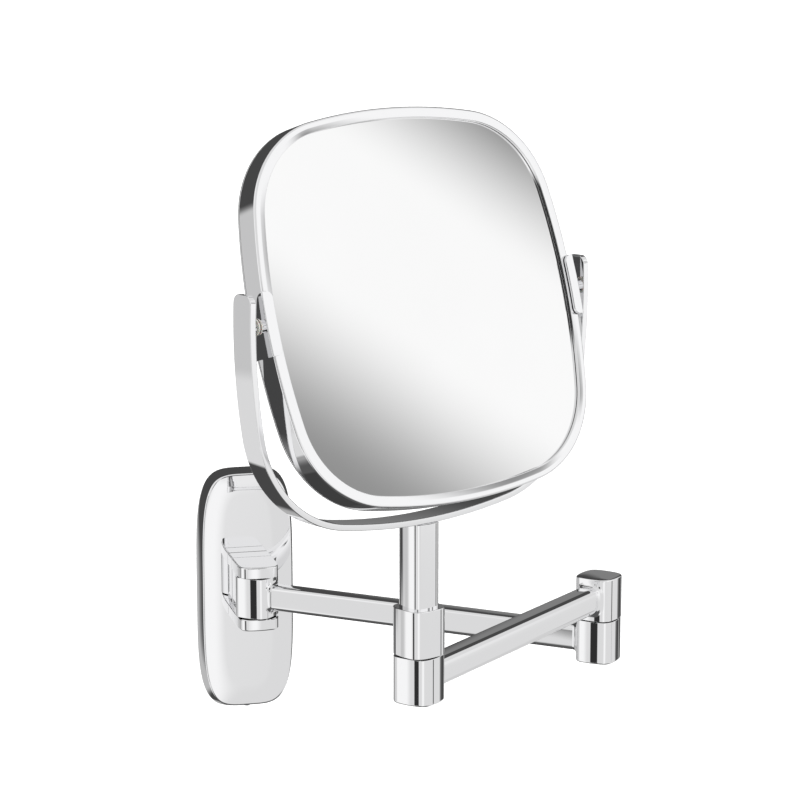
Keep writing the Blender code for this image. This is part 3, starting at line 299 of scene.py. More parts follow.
def rounded_rectangle(half_x, half_y, radius, steps=8):
    """Closed rectangle with round corners, counterclockwise."""
    corners = [(half_x, -half_y), (half_x, half_y), (-half_x, half_y), (-half_x, -half_y)]
    return rounded(corners, radius, steps)


def edge_profile(edge, height, direction, steps=5, slope=0.0):
    """(inset, height) points of a rounded edge, from the end face to the side."""
    found = []
    for i in range(steps + 1):
        turn = slope + (pi / 2 - slope) * i / steps
        found.append((edge * (1 - sin(turn)), height + direction * edge * (1 - cos(turn))))
    return found


def bowed_rectangle(half_x, half_y, radius, bow, steps=6):
    """Rounded rectangle whose four sides swell by bow towards their middles."""
    corners = rounded_rectangle(half_x, half_y, radius, steps)
    points = []
    for i, point in enumerate(corners):
        following = corners[(i + 1) % len(corners)]
        parts = 10 if (i + 1) % (steps + 1) == 0 else 1
        points += [point.lerp(following, k / parts) for k in range(parts)]
    return [Vector((point.x * (1 - bow / half_x * (point.y / half_y) ** 2),
                    point.y * (1 - bow / half_y * (point.x / half_x) ** 2))) for point in points]


def level(outline, height):
    """A flat outline raised to a height."""
    return [Vector((point.x, point.y, height)) for point in outline]


# ---------------------------------------------------------------- meshes and pieces

def loft(rings, closed=False, middles=(False, False)):
    """Closed mesh through rings of equal count. Open ends get a flat cap, or a fan to their middle."""
    mesh = bmesh.new()
    loops = [[mesh.verts.new(point) for point in ring] for ring in rings]
    count = len(loops[0])
    pairs = list(zip(loops, loops[1:]))
    if closed:
        pairs.append((loops[-1], loops[0]))
    for low, high in pairs:
        for i in range(count):
            j = (i + 1) % count
            mesh.faces.new((low[i], low[j], high[j], high[i]))
    if not closed:
        for loop, fan in ((loops[0], middles[0]), (loops[-1], middles[1])):
            if fan:
                centre = mesh.verts.new(sum((vertex.co for vertex in loop), Vector()) / count)
                for i in range(count):
                    mesh.faces.new((loop[i], loop[(i + 1) % count], centre))
            else:
                mesh.faces.new(loop)
    bmesh.ops.recalc_face_normals(mesh, faces=mesh.faces)
    return mesh


def turned(profile, steps=64, closed=False):
    """Mesh turned about Z from (radius, height) points."""
    rings = []
    for radius, height in profile:
        rings.append([Vector((radius * cos(2 * pi * i / steps), radius * sin(2 * pi * i / steps), height))
                      for i in range(steps)])
    return loft(rings, closed)


def piece(name, mesh, axes, body, finish, replaced, sharp=30):
    """Puts a mesh in place as a piece with its finish, riding on a body in place of CAD nodes."""
    mesh.transform(axes)
    data = bpy.data.meshes.new(name)
    mesh.to_mesh(data)
    mesh.free()
    data.shade_smooth()
    data.set_sharp_from_angle(angle=radians(sharp))
    made = bpy.data.objects.new(name, data)
    bpy.context.scene.collection.objects.link(made)
    made.data.materials.append(MATERIALS[finish]())
    even = made.modifiers.new("even_shading", "WEIGHTED_NORMAL")
    even.weight = 100
    even.keep_sharp = True
    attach(made, body)
    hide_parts(*replaced)
    return made


# ---------------------------------------------------------------- finishes

def node(tree, kind, settings=(), **links):
    """Adds one node; settings set its properties, links fill its inputs with values or sockets."""
    made = tree.nodes.new(kind)
    for key, value in dict(settings).items():
        setattr(made, key, value)
    for key, value in links.items():
        socket = made.inputs[int(key[1:])] if key[0] == "i" and key[1:].isdigit() else made.inputs[
            key.replace("_", " ")]
        if isinstance(value, bpy.types.NodeSocket):
            tree.links.new(value, socket)
        else:
            socket.default_value = value
    return made


MADE = {}


def finish(name):
    """The material of this name, with its node tree and shader only when it is new."""
    if name in MADE:
        return MADE[name], None, None
    made = bpy.data.materials.new(name)
    made.use_nodes = True
    MADE[name] = made
    return made, made.node_tree, made.node_tree.nodes["Principled BSDF"]


def speckle(tree, size_mm, detail=2.0, stretch=(1, 1, 1)):
    """Noise whose grains have this size, in the piece's own coordinates."""
    place = node(tree, "ShaderNodeTexCoord").outputs["Object"]
    scaled = node(tree, "ShaderNodeMapping", i0=place, Scale=stretch).outputs[0]
    return node(tree, "ShaderNodeTexNoise", Vector=scaled, Scale=1 / (size_mm * MM),
                Detail=detail).outputs["Fac"]


def between(tree, fac, low, high):
    """Spreads a noise value over a range."""
    return node(tree, "ShaderNodeMapRange", Value=fac, From_Min=0.3, From_Max=0.7, To_Min=low,
                To_Max=high).outputs["Result"]


def tinted(tree, shader, share, base, darkest):
    """Blends a colour with a darker shade of itself, by a pattern that runs from 0 to 1."""
    mix = node(tree, "ShaderNodeMix", {"data_type": "RGBA"}, i0=share, i6=(*base, 1),
               i7=(*[part * darkest for part in base], 1))
    tree.links.new(mix.outputs[2], shader.inputs["Base Color"])


def relief(tree, shader, height, strength, depth_mm):
    """Gives the skin a fine relief of this depth."""
    bump = node(tree, "ShaderNodeBump", Strength=strength, Distance=depth_mm * MM, Height=height)
    tree.links.new(bump.outputs[0], shader.inputs["Normal"])


def polished_chrome():
    """Bright chrome plated on brass, buffed first: a clear mirror with a breath of polishing haze."""
    made, tree, shader = finish("buffed_chrome_plate")
    if tree:
        colours = bpy.context.scene.mirror_colours
        shader.inputs["Base Color"].default_value = (*colours.chrome, 1)
        shader.inputs["Metallic"].default_value = 1.0
        # 14 mm clouds where the buffing wheel left the plating a little less clear
        tree.links.new(between(tree, speckle(tree, 14), 0.012, 0.03), shader.inputs["Roughness"])
        # 9 mm waves, far under a hair high, that buffing leaves in the metal
        relief(tree, shader, speckle(tree, 9, 1.0), 0.06, 0.02)
    return made


def mirror_glass():
    """Float glass silvered on its back: as clear as a mirror gets, and neutral in colour."""
    made, tree, shader = finish("silvered_float_glass")
    if tree:
        shader.inputs["Metallic"].default_value = 1.0
        # 60 mm drift of the silvering's tone, too faint to see as a pattern
        tinted(tree, shader, between(tree, speckle(tree, 60), 0.0, 1.0),
               bpy.context.scene.mirror_colours.silver, 0.985)
        # 25 mm patches of wiping film, which only just soften the image
        tree.links.new(between(tree, speckle(tree, 25), 0.008, 0.02), shader.inputs["Roughness"])
    return made


def zinc_steel():
    """Bright zinc plate on pressed and turned steel: a grey metal with a fine dull crystal."""
    made, tree, shader = finish("zinc_plated_steel")
    if tree:
        shader.inputs["Metallic"].default_value = 1.0
        # 1.6 mm crystals in the plate, with a finer dullness and grain over them
        tinted(tree, shader, between(tree, speckle(tree, 1.6, 4.0), 0.0, 1.0),
               bpy.context.scene.mirror_colours.zinc, 0.8)
        tree.links.new(between(tree, speckle(tree, 0.8, 3.0), 0.28, 0.42), shader.inputs["Roughness"])
        relief(tree, shader, speckle(tree, 0.6), 0.25, 0.02)
    return made


def spring_steel():
    """Blued spring steel with a film of oil: dark, smooth metal with faint drawing lines."""
    made, tree, shader = finish("oiled_spring_steel")
    if tree:
        shader.inputs["Metallic"].default_value = 1.0
        # 2 mm streaks, drawn out along the strip
        lines = between(tree, speckle(tree, 2.0, 3.0, (1, 1, 12)), 0.0, 1.0)
        tinted(tree, shader, lines, bpy.context.scene.mirror_colours.spring, 0.75)
        tree.links.new(between(tree, lines, 0.22, 0.36), shader.inputs["Roughness"])
    return made


def white_nylon():
    """Natural nylon as moulded: off-white, slightly see-through, with a satin skin."""
    made, tree, shader = finish("moulded_nylon")
    if tree:
        # 3 mm clouds of the natural resin and the half-millimetre grain of the mould
        tinted(tree, shader, between(tree, speckle(tree, 3.0), 0.0, 1.0),
               bpy.context.scene.mirror_colours.nylon, 0.93)
        shader.inputs["Roughness"].default_value = 0.45
        shader.inputs["IOR"].default_value = 1.53
        shader.inputs["Subsurface Weight"].default_value = 0.1
        shader.inputs["Subsurface Scale"].default_value = 1.5 * MM
        relief(tree, shader, speckle(tree, 0.5), 0.2, 0.03)
    return made


def grey_foam():
    """Closed-cell foam sheet: a matt grey skin of cells about half a millimetre wide."""
    made, tree, shader = finish("closed_cell_foam")
    if tree:
        place = node(tree, "ShaderNodeTexCoord").outputs["Object"]
        cells = node(tree, "ShaderNodeTexVoronoi", Vector=place, Scale=1 / (0.6 * MM)).outputs["Distance"]
        tinted(tree, shader, cells, bpy.context.scene.mirror_colours.foam, 0.6)
        shader.inputs["Roughness"].default_value = 0.9
        relief(tree, shader, cells, 0.5, 0.1)
    return made


MATERIALS = {
    "polished_chrome": polished_chrome,
    "mirror_glass": mirror_glass,
    "zinc_steel": zinc_steel,
    "spring_steel": spring_steel,
    "white_nylon": white_nylon,
    "grey_foam": grey_foam,
}


# ---------------------------------------------------------------- wall cover and hinge

class MIRROR_OT_wall_cover(Operator):
    """Shell over the wall bracket, with a drafted side and a faintly crowned face"""
    bl_idname = "mirror.wall_cover"
    bl_label = "Wall cover"

    def execute(self, context):
        sizes = context.scene.mirror_wall
        half_x = COVER_HIGH.x
        half_z = COVER_HIGH.z
        deep = -COVER_LOW.y

        def ring(inset, depth):
            outline = superellipse(half_x - inset, half_z - inset, sizes.squareness)
            return [Vector((point.x, -depth, point.y)) for point in outline]

        edge_top = deep - sizes.crown
        slope = 2 * sizes.crown / (sizes.crown_inset - sizes.edge_across)
        # (inset, depth) points of the drafted side: it leans in from its foot to the round at the face
        foot = Vector((0, sizes.foot))
        bend = Vector((sizes.belly, sizes.belly_height))
        round_start = Vector((sizes.edge_across - 1.7 * MM, edge_top - 1.0 * MM))
        side = []
        for i in range(13):
            t = i / 12
            side.append(foot * (1 - t) ** 2 + bend * 2 * t * (1 - t) + round_start * t ** 2)
        leaning = atan2(round_start.x - bend.x, round_start.y - bend.y)
        rise = pi / 2 - atan(slope)
        centre = round_start + Vector((cos(leaning), -sin(leaning))) * sizes.face_round
        for i in range(1, 9):
            turn = leaning + (rise - leaning) * i / 8
            side.append(centre + Vector((-cos(turn), sin(turn))) * sizes.face_round)
        # inside of the shell, then its rim on the wall, its side and its crowned face
        flat_under, flat_face = sizes.crown_inset + 4 * MM, sizes.crown_inset + 8 * MM
        rings = [ring(flat_under, deep - sizes.sheet),
                 ring(sizes.edge_across + sizes.sheet, edge_top - sizes.sheet - 0.2 * MM)]
        for point in reversed(side[:14]):
            rings.append(ring(point.x + sizes.sheet, max(point.y - sizes.sheet * 0.6, 0.6 * MM)))
        rings += [ring(sizes.sheet, BROKEN_EDGE), ring(sizes.sheet - BROKEN_EDGE, 0),
                  ring(BROKEN_EDGE, 0), ring(0.08 * MM, 0.08 * MM), ring(0, BROKEN_EDGE)]
        rings += [ring(point.x, point.y) for point in side]
        start, base = side[-1]
        for i in range(1, 13):
            share = i / 12
            rings.append(ring(start + (sizes.crown_inset - start) * share,
                              base + (deep - base) * (1 - (1 - share) ** 2)))
        rings.append(ring(flat_face, deep))
        piece("wall_cover_shell", loft(rings), WALL_AXES, "wall_side", "polished_chrome", ["wall_cover"])
        return {"FINISHED"}


def clevis_outline(half, inset, axis_y, back_y, sizes):
    """D-shaped outline of a lug: straight flanks and the bowed front of a soft square."""
    soft = SoftSquare(half, sizes.side_radius, sizes.corner_radius, 6, 4)
    front = [soft.point(angle, -inset) + Vector((0, axis_y)) for angle in soft.angles(pi, 2 * pi)]
    wide = half - inset
    back = [Vector((wide, back_y - BROKEN_EDGE)), Vector((wide - BROKEN_EDGE, back_y)),
            Vector((-wide + BROKEN_EDGE, back_y)), Vector((-wide, back_y - BROKEN_EDGE))]
    return back + front


class MIRROR_OT_wall_hinge(Operator):
    """Spacer block and clevis that carry the rear arm"""
    bl_idname = "mirror.wall_hinge"
    bl_label = "Wall hinge"

    def execute(self, context):
        sizes = context.scene.mirror_wall
        arms = context.scene.mirror_arms
        half = CLEVIS_HIGH.x
        low, high = CLEVIS_LOW.z, CLEVIS_HIGH.z
        back = CLEVIS_HIGH.y
        axis_y = WALL_HINGE.y
        web_front = back - sizes.web
        shrink = (half - sizes.web_inset) / half
        edge = arms.outer_edge

        def lug_ring(inset, height):
            return level(clevis_outline(half, inset, axis_y, back, arms), height)

        def web_ring(height):
            outline = clevis_outline(half, 0, axis_y, back, arms)
            lowest = min(point.y for point in outline)
            placed = []
            for point in outline:
                share = min(1, (point.y - back) / (lowest - back) * 3)
                placed.append(Vector((point.x * shrink, back + (web_front - back) * share, height)))
            return placed

        inner_low = low + sizes.lug
        inner_high = high - sizes.lug
        fine = arms.seam_edge
        rings = [lug_ring(inset, height) for inset, height in edge_profile(edge, low, 1)]
        rings += [lug_ring(0, inner_low - fine), lug_ring(fine, inner_low), web_ring(inner_low),
                  web_ring(inner_high), lug_ring(fine, inner_high), lug_ring(0, inner_high + fine)]
        rings += [lug_ring(inset, height) for inset, height in reversed(edge_profile(edge, high, -1))]
        piece("hinge_clevis_body", loft(rings), WALL_AXES, "wall_side", "polished_chrome", ["hinge_clevis"])

        def base_ring(width, height, inset=0.0, corner=BROKEN_EDGE):
            middle = (BASE_LOW.y + BASE_HIGH.y) / 2
            deep = (BASE_HIGH.y - BASE_LOW.y) / 2
            outline = rounded_rectangle(width - inset, deep - min(inset, BROKEN_EDGE), corner, 5)
            return [Vector((point.x, point.y + middle, height)) for point in outline]

        wide = BASE_HIGH.x
        narrow = wide - sizes.web_inset
        rings = [base_ring(wide, height, inset) for inset, height in edge_profile(edge, BASE_LOW.z, 1)]
        rings += [base_ring(wide, inner_low - fine), base_ring(wide, inner_low, fine),
                  base_ring(narrow, inner_low + fine, 0, sizes.web_edge),
                  base_ring(narrow, inner_high - fine, 0, sizes.web_edge),
                  base_ring(wide, inner_high, fine), base_ring(wide, inner_high + fine)]
        rings += [base_ring(wide, height, inset)
                  for inset, height in reversed(edge_profile(edge, BASE_HIGH.z, -1))]
        piece("hinge_spacer_block", loft(rings), WALL_AXES, "wall_side", "polished_chrome", ["hinge_base"])
        return {"FINISHED"}


def thread(radius, start, stop, pitch):
    """Rounded grooves that stand for a screw thread."""
    count = max(2, int((stop - start) / pitch))
    found = []
    for i in range(count * 2 + 1):
        found.append((radius - (pitch * 0.3 if i % 2 else 0), start + (stop - start) * i / (count * 2)))
    return found


def sink_socket(mesh, corner, height, depth):
    """Sinks a hexagonal key socket into the flat end at this height."""
    end = [face for face in mesh.faces if len(face.verts) > 8
           and all(abs(vertex.co.z - height) < 1e-7 for vertex in face.verts)]
    if not end:
        return
    bmesh.ops.inset_region(mesh, faces=end, thickness=0.02 * MM)
    sector = pi / 3
    for vertex in end[0].verts:
        angle = atan2(vertex.co.y, vertex.co.x)
        across = angle - round(angle / sector) * sector
        reach = corner * cos(sector / 2) / max(cos(across), 0.5)
        vertex.co.x = reach * cos(angle)
        vertex.co.y = reach * sin(angle)
    sunk = bmesh.ops.extrude_discrete_faces(mesh, faces=[end[0]])["faces"]
    for vertex in {vertex for face in sunk for vertex in face.verts}:
        vertex.co.z += depth
    bmesh.ops.recalc_face_normals(mesh, faces=mesh.faces)


class MIRROR_OT_wall_fixings(Operator):
    """Finish of the bracket, and the screws and pin that hold the wall side together"""
    bl_idname = "mirror.wall_fixings"
    bl_label = "Wall fixings"

    def execute(self, context):
        bracket = frame["nodes"]["mounting_bracket"].data
        bracket.materials.clear()
        bracket.materials.append(zinc_steel())
        outwards = Matrix.Rotation(pi / 2, 4, "X")
        for name, axes in (("cover_grub_screw", WALL_AXES), ("clevis_screw_upper", outwards),
                           ("clevis_screw_lower", outwards), ("wall_hinge_pin", WALL_AXES)):
            low, high = extent(name, axes)
            middle = (low + high) / 2
            radius = (high.x - low.x) / 2
            if name.startswith("clevis"):
                shank = 1.5 * MM
                neck = low.z + 2.2 * MM
                profile = [(radius * 0.45, low.z), (radius * 0.8, low.z), (radius * 0.95, low.z + 0.3 * MM),
                           (radius, low.z + 0.8 * MM), (radius, neck), (shank, neck)]
                profile += thread(shank, neck + 3 * MM, high.z - 0.5 * MM, 0.5 * MM)
                profile.append((shank * 0.7, high.z))
            elif name == "cover_grub_screw":
                profile = [(radius * 0.55, low.z), (radius * 0.85, low.z), (radius, low.z + 0.4 * MM)]
                profile += thread(radius, low.z + 0.6 * MM, high.z - 1.6 * MM, 0.7 * MM)
                profile.append((radius * 0.35, high.z))
            else:
                edge = 0.5 * MM
                profile = [(radius * 0.5, low.z), (radius - edge, low.z),
                           (radius - edge * 0.3, low.z + edge * 0.3), (radius, low.z + edge),
                           (radius, high.z - edge), (radius - edge * 0.3, high.z - edge * 0.3),
                           (radius - edge, high.z)]
            mesh = turned(profile, 48)
            if name != "wall_hinge_pin":
                sink_socket(mesh, radius * 0.4, low.z, 1.4 * MM)
            place = axes @ Matrix.Translation((middle.x, middle.y, 0))
            piece(f"{name}_turned", mesh, place, "wall_side", "zinc_steel", [name])
        return {"FINISHED"}


# ---------------------------------------------------------------- knuckles and arms

def knuckle_mesh(soft, low, high, low_edge, high_edge, crown=0.0):
    """Soft square block with rounded edges and, if asked, a crowned top."""
    rings = [level(soft.outline(-inset), height) for inset, height in edge_profile(low_edge, low, 1)]
    half = soft.side_radius - soft.back
    slope = atan(2 * crown / half)
    top = edge_profile(high_edge, high, -1, 5, slope)
    rings += [level(soft.outline(-inset), height) for inset, height in reversed(top)]
    if crown:
        inset, height = top[0]
        last = soft.outline(-inset)
        for i in range(1, 12):
            share = 1 - i / 12
            rings.append(level([point * share for point in last], height + crown * (1 - share ** 2)))
        return loft(rings, middles=(False, True))
    return loft(rings)


def arm_mesh(soft, arm_length, sizes):
    """Rounded rectangular tube whose ends flare into the two knuckles."""
    half_y = TUBE_HIGH.y
    half_z = (TUBE_HIGH.z - TUBE_LOW.z) / 2
    weld = sizes.weld
    section = bowed_rectangle(half_y, half_z, sizes.tube_edge, sizes.tube_bow)
    flared = bowed_rectangle(half_y + weld, half_z + weld, sizes.tube_edge + weld, sizes.tube_bow)
    near = []
    for i in range(9):
        turn = pi / 2 * i / 8
        offset = 1 - sin(turn)
        ring = []
        for point, wide in zip(section, flared):
            place = point.lerp(wide, offset)
            ring.append(Vector((soft.depth_at(place.x) + weld * (1 - cos(turn)), place.x, place.y)))
        near.append(ring)
    near[0] = [Vector((point.x - 0.2 * MM, point.y, point.z)) for point in near[0]]
    far = [[Vector((arm_length - point.x, point.y, point.z)) for point in ring] for ring in reversed(near)]
    start = near[-1]
    stop = far[0]
    between_rings = [[a.lerp(b, i / 12) for a, b in zip(start, stop)] for i in range(1, 12)]
    return loft(near + between_rings + far)


def soft_knuckle(sizes):
    """Outline of the knuckles and the collar."""
    return SoftSquare(sizes.knuckle, sizes.side_radius, sizes.corner_radius, 5, 2)


class MIRROR_OT_arms(Operator):
    """Rear and front arm: tubes and their knuckles"""
    bl_idname = "mirror.arms"
    bl_label = "Arms"

    def execute(self, context):
        sizes = context.scene.mirror_arms
        soft = soft_knuckle(sizes)
        seam, outer = sizes.seam_edge, sizes.outer_edge
        for name, axes, body, x, edges, crown in (
                ("rear_arm_wall_knuckle", REAR_AXES, "rear_arm", 0, (seam, seam), 0),
                ("rear_arm_elbow_knuckle", REAR_AXES, "rear_arm", REAR_LENGTH, (outer, seam), 0),
                ("front_arm_elbow_knuckle", FRONT_AXES, "front_arm", 0, (seam, outer), 1.1 * MM),
                ("front_arm_post_knuckle", FRONT_AXES, "front_arm", FRONT_LENGTH, (outer, seam), 0)):
            low, high = extent(name, axes)
            mesh = knuckle_mesh(soft, low.z, high.z - crown, *edges, crown)
            place = axes @ Matrix.Translation((x, 0, 0))
            piece(f"{name}_block", mesh, place, body, "polished_chrome", [name])
        for name, axes, body, reach in (("rear_arm_tube", REAR_AXES, "rear_arm", REAR_LENGTH),
                                        ("front_arm_tube", FRONT_AXES, "front_arm", FRONT_LENGTH)):
            low, high = extent(name, axes)
            place = axes @ Matrix.Translation((0, 0, (low.z + high.z) / 2))
            piece(f"{name}_bar", arm_mesh(soft, reach, sizes), place, body, "polished_chrome", [name])
        return {"FINISHED"}


class MIRROR_OT_swivel_parts(Operator):
    """Bushes, bolts, spring washers and caps inside the knuckles"""
    bl_idname = "mirror.swivel_parts"
    bl_label = "Swivel parts"

    def execute(self, context):
        bore, wall, rim = 3.3 * MM, 4.7 * MM, 1.0 * MM
        for joint, body, axes in (("wall", "rear_arm", REAR_AXES), ("elbow", "rear_arm", REAR_AXES),
                                  ("post", "front_arm", FRONT_AXES)):
            for end in ("upper", "lower"):
                name = f"{joint}_bush_{end}"
                low, high = extent(name, axes)
                outer = (high.x - low.x) / 2
                if end == "upper":
                    corners = [(bore, low.z), (wall, low.z), (wall, high.z - rim), (outer, high.z - rim),
                               (outer, high.z), (bore, high.z)]
                else:
                    corners = [(bore, low.z), (outer, low.z), (outer, low.z + rim), (wall, low.z + rim),
                               (wall, high.z), (bore, high.z)]
                place = axes @ Matrix.Translation(((low.x + high.x) / 2, 0, 0))
                piece(f"{name}_ring", turned(rounded(corners, 0.15 * MM, 3), 64, True), place, body,
                      "white_nylon", [name])
        for name, body, axes in (("elbow_cap", "rear_arm", REAR_AXES),
                                 ("post_cap", "front_arm", FRONT_AXES)):
            low, high = extent(name, axes)
            outer = (high.x - low.x) / 2
            profile = [(outer - inset, height) for inset, height in edge_profile(0.4 * MM, low.z, 1)]
            profile.append((outer, high.z))
            place = axes @ Matrix.Translation(((low.x + high.x) / 2, 0, 0))
            piece(f"{name}_plug", turned(profile), place, body, "polished_chrome", [name])
        for name, body, axes in (("elbow_bolt", "front_arm", FRONT_AXES), ("post_bolt", "yoke", YOKE_AXES)):
            low, high = extent(name, axes)
            head, shank, grip = (high.x - low.x) / 2, 3.0 * MM, 2.8 * MM
            profile = [(head - 1.6 * MM, low.z), (head - 0.4 * MM, low.z), (head, low.z + 0.4 * MM),
                       (head, low.z + grip - 0.3 * MM), (head - 0.3 * MM, low.z + grip),
                       (shank, low.z + grip)]
            profile += thread(shank, high.z - 11 * MM, high.z - 0.8 * MM, 0.8 * MM)
            profile.append((shank - 0.8 * MM, high.z))
            mesh = turned(profile)
            sink_socket(mesh, 2.3 * MM, low.z, 1.8 * MM)
            piece(f"{name}_turned", mesh, axes, body, "zinc_steel", [name])
        for name, body, axes in (("elbow_spring_washer", "front_arm", FRONT_AXES),
                                 ("post_spring_washer", "yoke", YOKE_AXES)):
            low, high = extent(name, axes)
            outer, sheet = (high.x - low.x) / 2, 0.5 * MM
            corners = [(bore, low.z), (outer, high.z - sheet), (outer, high.z), (bore, low.z + sheet)]
            piece(f"{name}_disc", turned(rounded(corners, 0.12 * MM, 3), 64, True), axes, body,
                  "spring_steel", [name])
        return {"FINISHED"}


# ---------------------------------------------------------------- post and yoke

def head_shape(sizes):
    """Outline of the mirror head, which the rim, glasses, clips and yoke follow."""
    return SoftSquare(sizes.half, sizes.side_radius, sizes.corner_radius, 2.5, 1.0)


class MIRROR_OT_post(Operator):
    """Collar on the front knuckle and the post that carries the yoke"""
    bl_idname = "mirror.post"
    bl_label = "Post"

    def execute(self, context):
        sizes = context.scene.mirror_arms
        head = head_shape(context.scene.mirror_head)
        band = context.scene.mirror_head.band
        soft = soft_knuckle(sizes)
        mesh = knuckle_mesh(soft, COLLAR_LOW.z, COLLAR_HIGH.z, sizes.seam_edge, sizes.seam_edge * 1.6)
        piece("post_collar_block", mesh, YOKE_AXES, "yoke", "polished_chrome", ["post_collar"])
        post = SoftSquare(POST_HIGH.x, sizes.post_side, sizes.post_corner, 6, 3)
        gap = BAND_HIGH.x - band - head.point(0).x
        radius = head.side_radius + gap + band
        centre = PIVOT_RISE + head.back

        def under_band(point, inset):
            return centre - sqrt(radius ** 2 - point.x ** 2) - inset

        edge = 0.35 * MM
        rings = [level(post.outline(-edge), POST_LOW.z), level(post.outline(), POST_LOW.z + edge)]
        for share in (0.3, 0.6, 0.9):
            rings.append(level(post.outline(), POST_LOW.z + (POST_HIGH.z - POST_LOW.z) * share))
        for inset, drop in reversed(edge_profile(edge, 0, 1)):
            rings.append([Vector((point.x, point.y, under_band(point, drop - 0.12 * MM)))
                          for point in post.outline(-inset)])
        piece("yoke_post_bar", loft(rings), YOKE_AXES, "yoke", "polished_chrome", ["yoke_post"])
        return {"FINISHED"}


class MIRROR_OT_yoke(Operator):
    """Flat band that follows the rim from pivot to pivot"""
    bl_idname = "mirror.yoke"
    bl_label = "Yoke"

    def execute(self, context):
        sizes = context.scene.mirror_head
        head = head_shape(sizes)
        reach = BAND_HIGH.y
        inner = BAND_HIGH.x - sizes.band - sizes.half
        outer = inner + sizes.band
        rise = asin((BAND_HIGH.z - PIVOT_RISE) / (sizes.side_radius + inner))
        rim_turn = sizes.band_end / sizes.side_radius
        start, stop = pi - rise, 2 * pi + rise
        lip = 0.4 * MM
        lip_turn = lip / sizes.side_radius

        ends = [(0.0, lip), (lip_turn * 0.1, lip * 0.55), (lip_turn * 0.4, lip * 0.2), (lip_turn, 0.0)]
        ends += [(lip_turn + (rim_turn - lip_turn) * share, 0.0) for share in (0.08, 0.2, 0.35, 0.52, 0.75)]
        middle = head.angles(start + rim_turn, stop - rim_turn)
        turns = [(start + turn, turn, thin) for turn, thin in ends]
        turns += [(angle, rim_turn, 0.0) for angle in middle]
        turns += [(stop - turn, turn, thin) for turn, thin in reversed(ends)]
        rings = []
        for angle, turn, thin in turns:
            share = min(1.0, (turn * sizes.side_radius + 0.05 * MM) / sizes.band_end)
            narrow = sizes.band_end * (1 - sqrt(max(0.0, 1 - (1 - share) ** 2))) + thin * 0.3
            across = reach - narrow
            corners = [(inner + thin, -across), (outer - thin, -across), (outer - thin, across),
                       (inner + thin, across)]
            edge = min(sizes.band_edge, (outer - inner) / 2 - thin - 0.05 * MM)
            ring = []
            for out, forward in rounded(corners, edge, 4):
                place = head.point(angle, out)
                ring.append(Vector((place.x, -forward, PIVOT_RISE + place.y)))
            rings.append(ring)
        piece("yoke_band_strip", loft(rings), YOKE_AXES, "yoke", "polished_chrome", ["yoke_band"])
        return {"FINISHED"}


class MIRROR_OT_pivots(Operator):
    """Studs, spacers, retaining rings and bushes on the tilting axis"""
    bl_idname = "mirror.pivots"
    bl_label = "Pivots"

    def execute(self, context):
        along = PIVOT_AXES @ Matrix.Rotation(pi / 2, 4, "Y")
        tilted = HEAD_AXES @ Matrix.Rotation(pi / 2, 4, "Y")
        for side in ("left", "right"):
            sign = 1 if side == "right" else -1
            low, high = extent(f"pivot_stud_{side}", along)
            radius = (high.x - low.x) / 2
            inner, outer = sorted((abs(low.z), abs(high.z)))
            ring_low, ring_high = extent(f"pivot_ring_{side}", along)
            near, far = sorted((abs(ring_low.z), abs(ring_high.z)))
            groove = radius - 0.5 * MM
            play = 0.1 * MM
            profile = [(radius - 0.3 * MM, inner), (radius - 0.08 * MM, inner + 0.08 * MM),
                       (radius, inner + 0.3 * MM), (radius, near - play), (groove, near - play),
                       (groove, far + play), (radius, far + play), (radius, outer)]
            mesh = turned([(r, sign * h) for r, h in profile], 48)
            piece(f"pivot_stud_{side}_turned", mesh, along, "yoke", "polished_chrome",
                  [f"pivot_stud_{side}"])
            low, high = extent(f"pivot_spacer_{side}", along)
            wide, bore = (high.x - low.x) / 2, radius + 0.3 * MM
            corners = [(bore, low.z), (wide, low.z), (wide, high.z), (bore, high.z)]
            mesh = turned(rounded(corners, [0.15 * MM, 0.5 * MM, 0.5 * MM, 0.15 * MM], 5), 56, True)
            piece(f"pivot_spacer_{side}_turned", mesh, along, "yoke", "polished_chrome",
                  [f"pivot_spacer_{side}"])
            wide, inside = (ring_high.x - ring_low.x) / 2, groove + 0.2 * MM
            corners = [(inside, ring_low.z), (wide, ring_low.z), (wide, ring_high.z), (inside, ring_high.z)]
            mesh = turned(rounded(corners, 0.15 * MM, 3), 48, True)
            piece(f"pivot_ring_{side}_washer", mesh, along, "yoke", "spring_steel", [f"pivot_ring_{side}"])
            low, high = extent(f"pivot_bush_{side}", tilted)
            flange = (high.x - low.x) / 2
            near, far = sorted((abs(low.z), abs(high.z)))
            wall, rim = radius + 1.1 * MM, 0.8 * MM
            corners = [(bore, near), (wall, near), (wall, far - rim), (flange, far - rim), (flange, far),
                       (bore, far)]
            profile = [(point.x, sign * point.y) for point in rounded(corners, 0.12 * MM, 3)]
            piece(f"pivot_bush_{side}_ring", turned(profile, 48, True), tilted, "mirror_head",
                  "white_nylon", [f"pivot_bush_{side}"])
        return {"FINISHED"}


# ---------------------------------------------------------------- mirror head

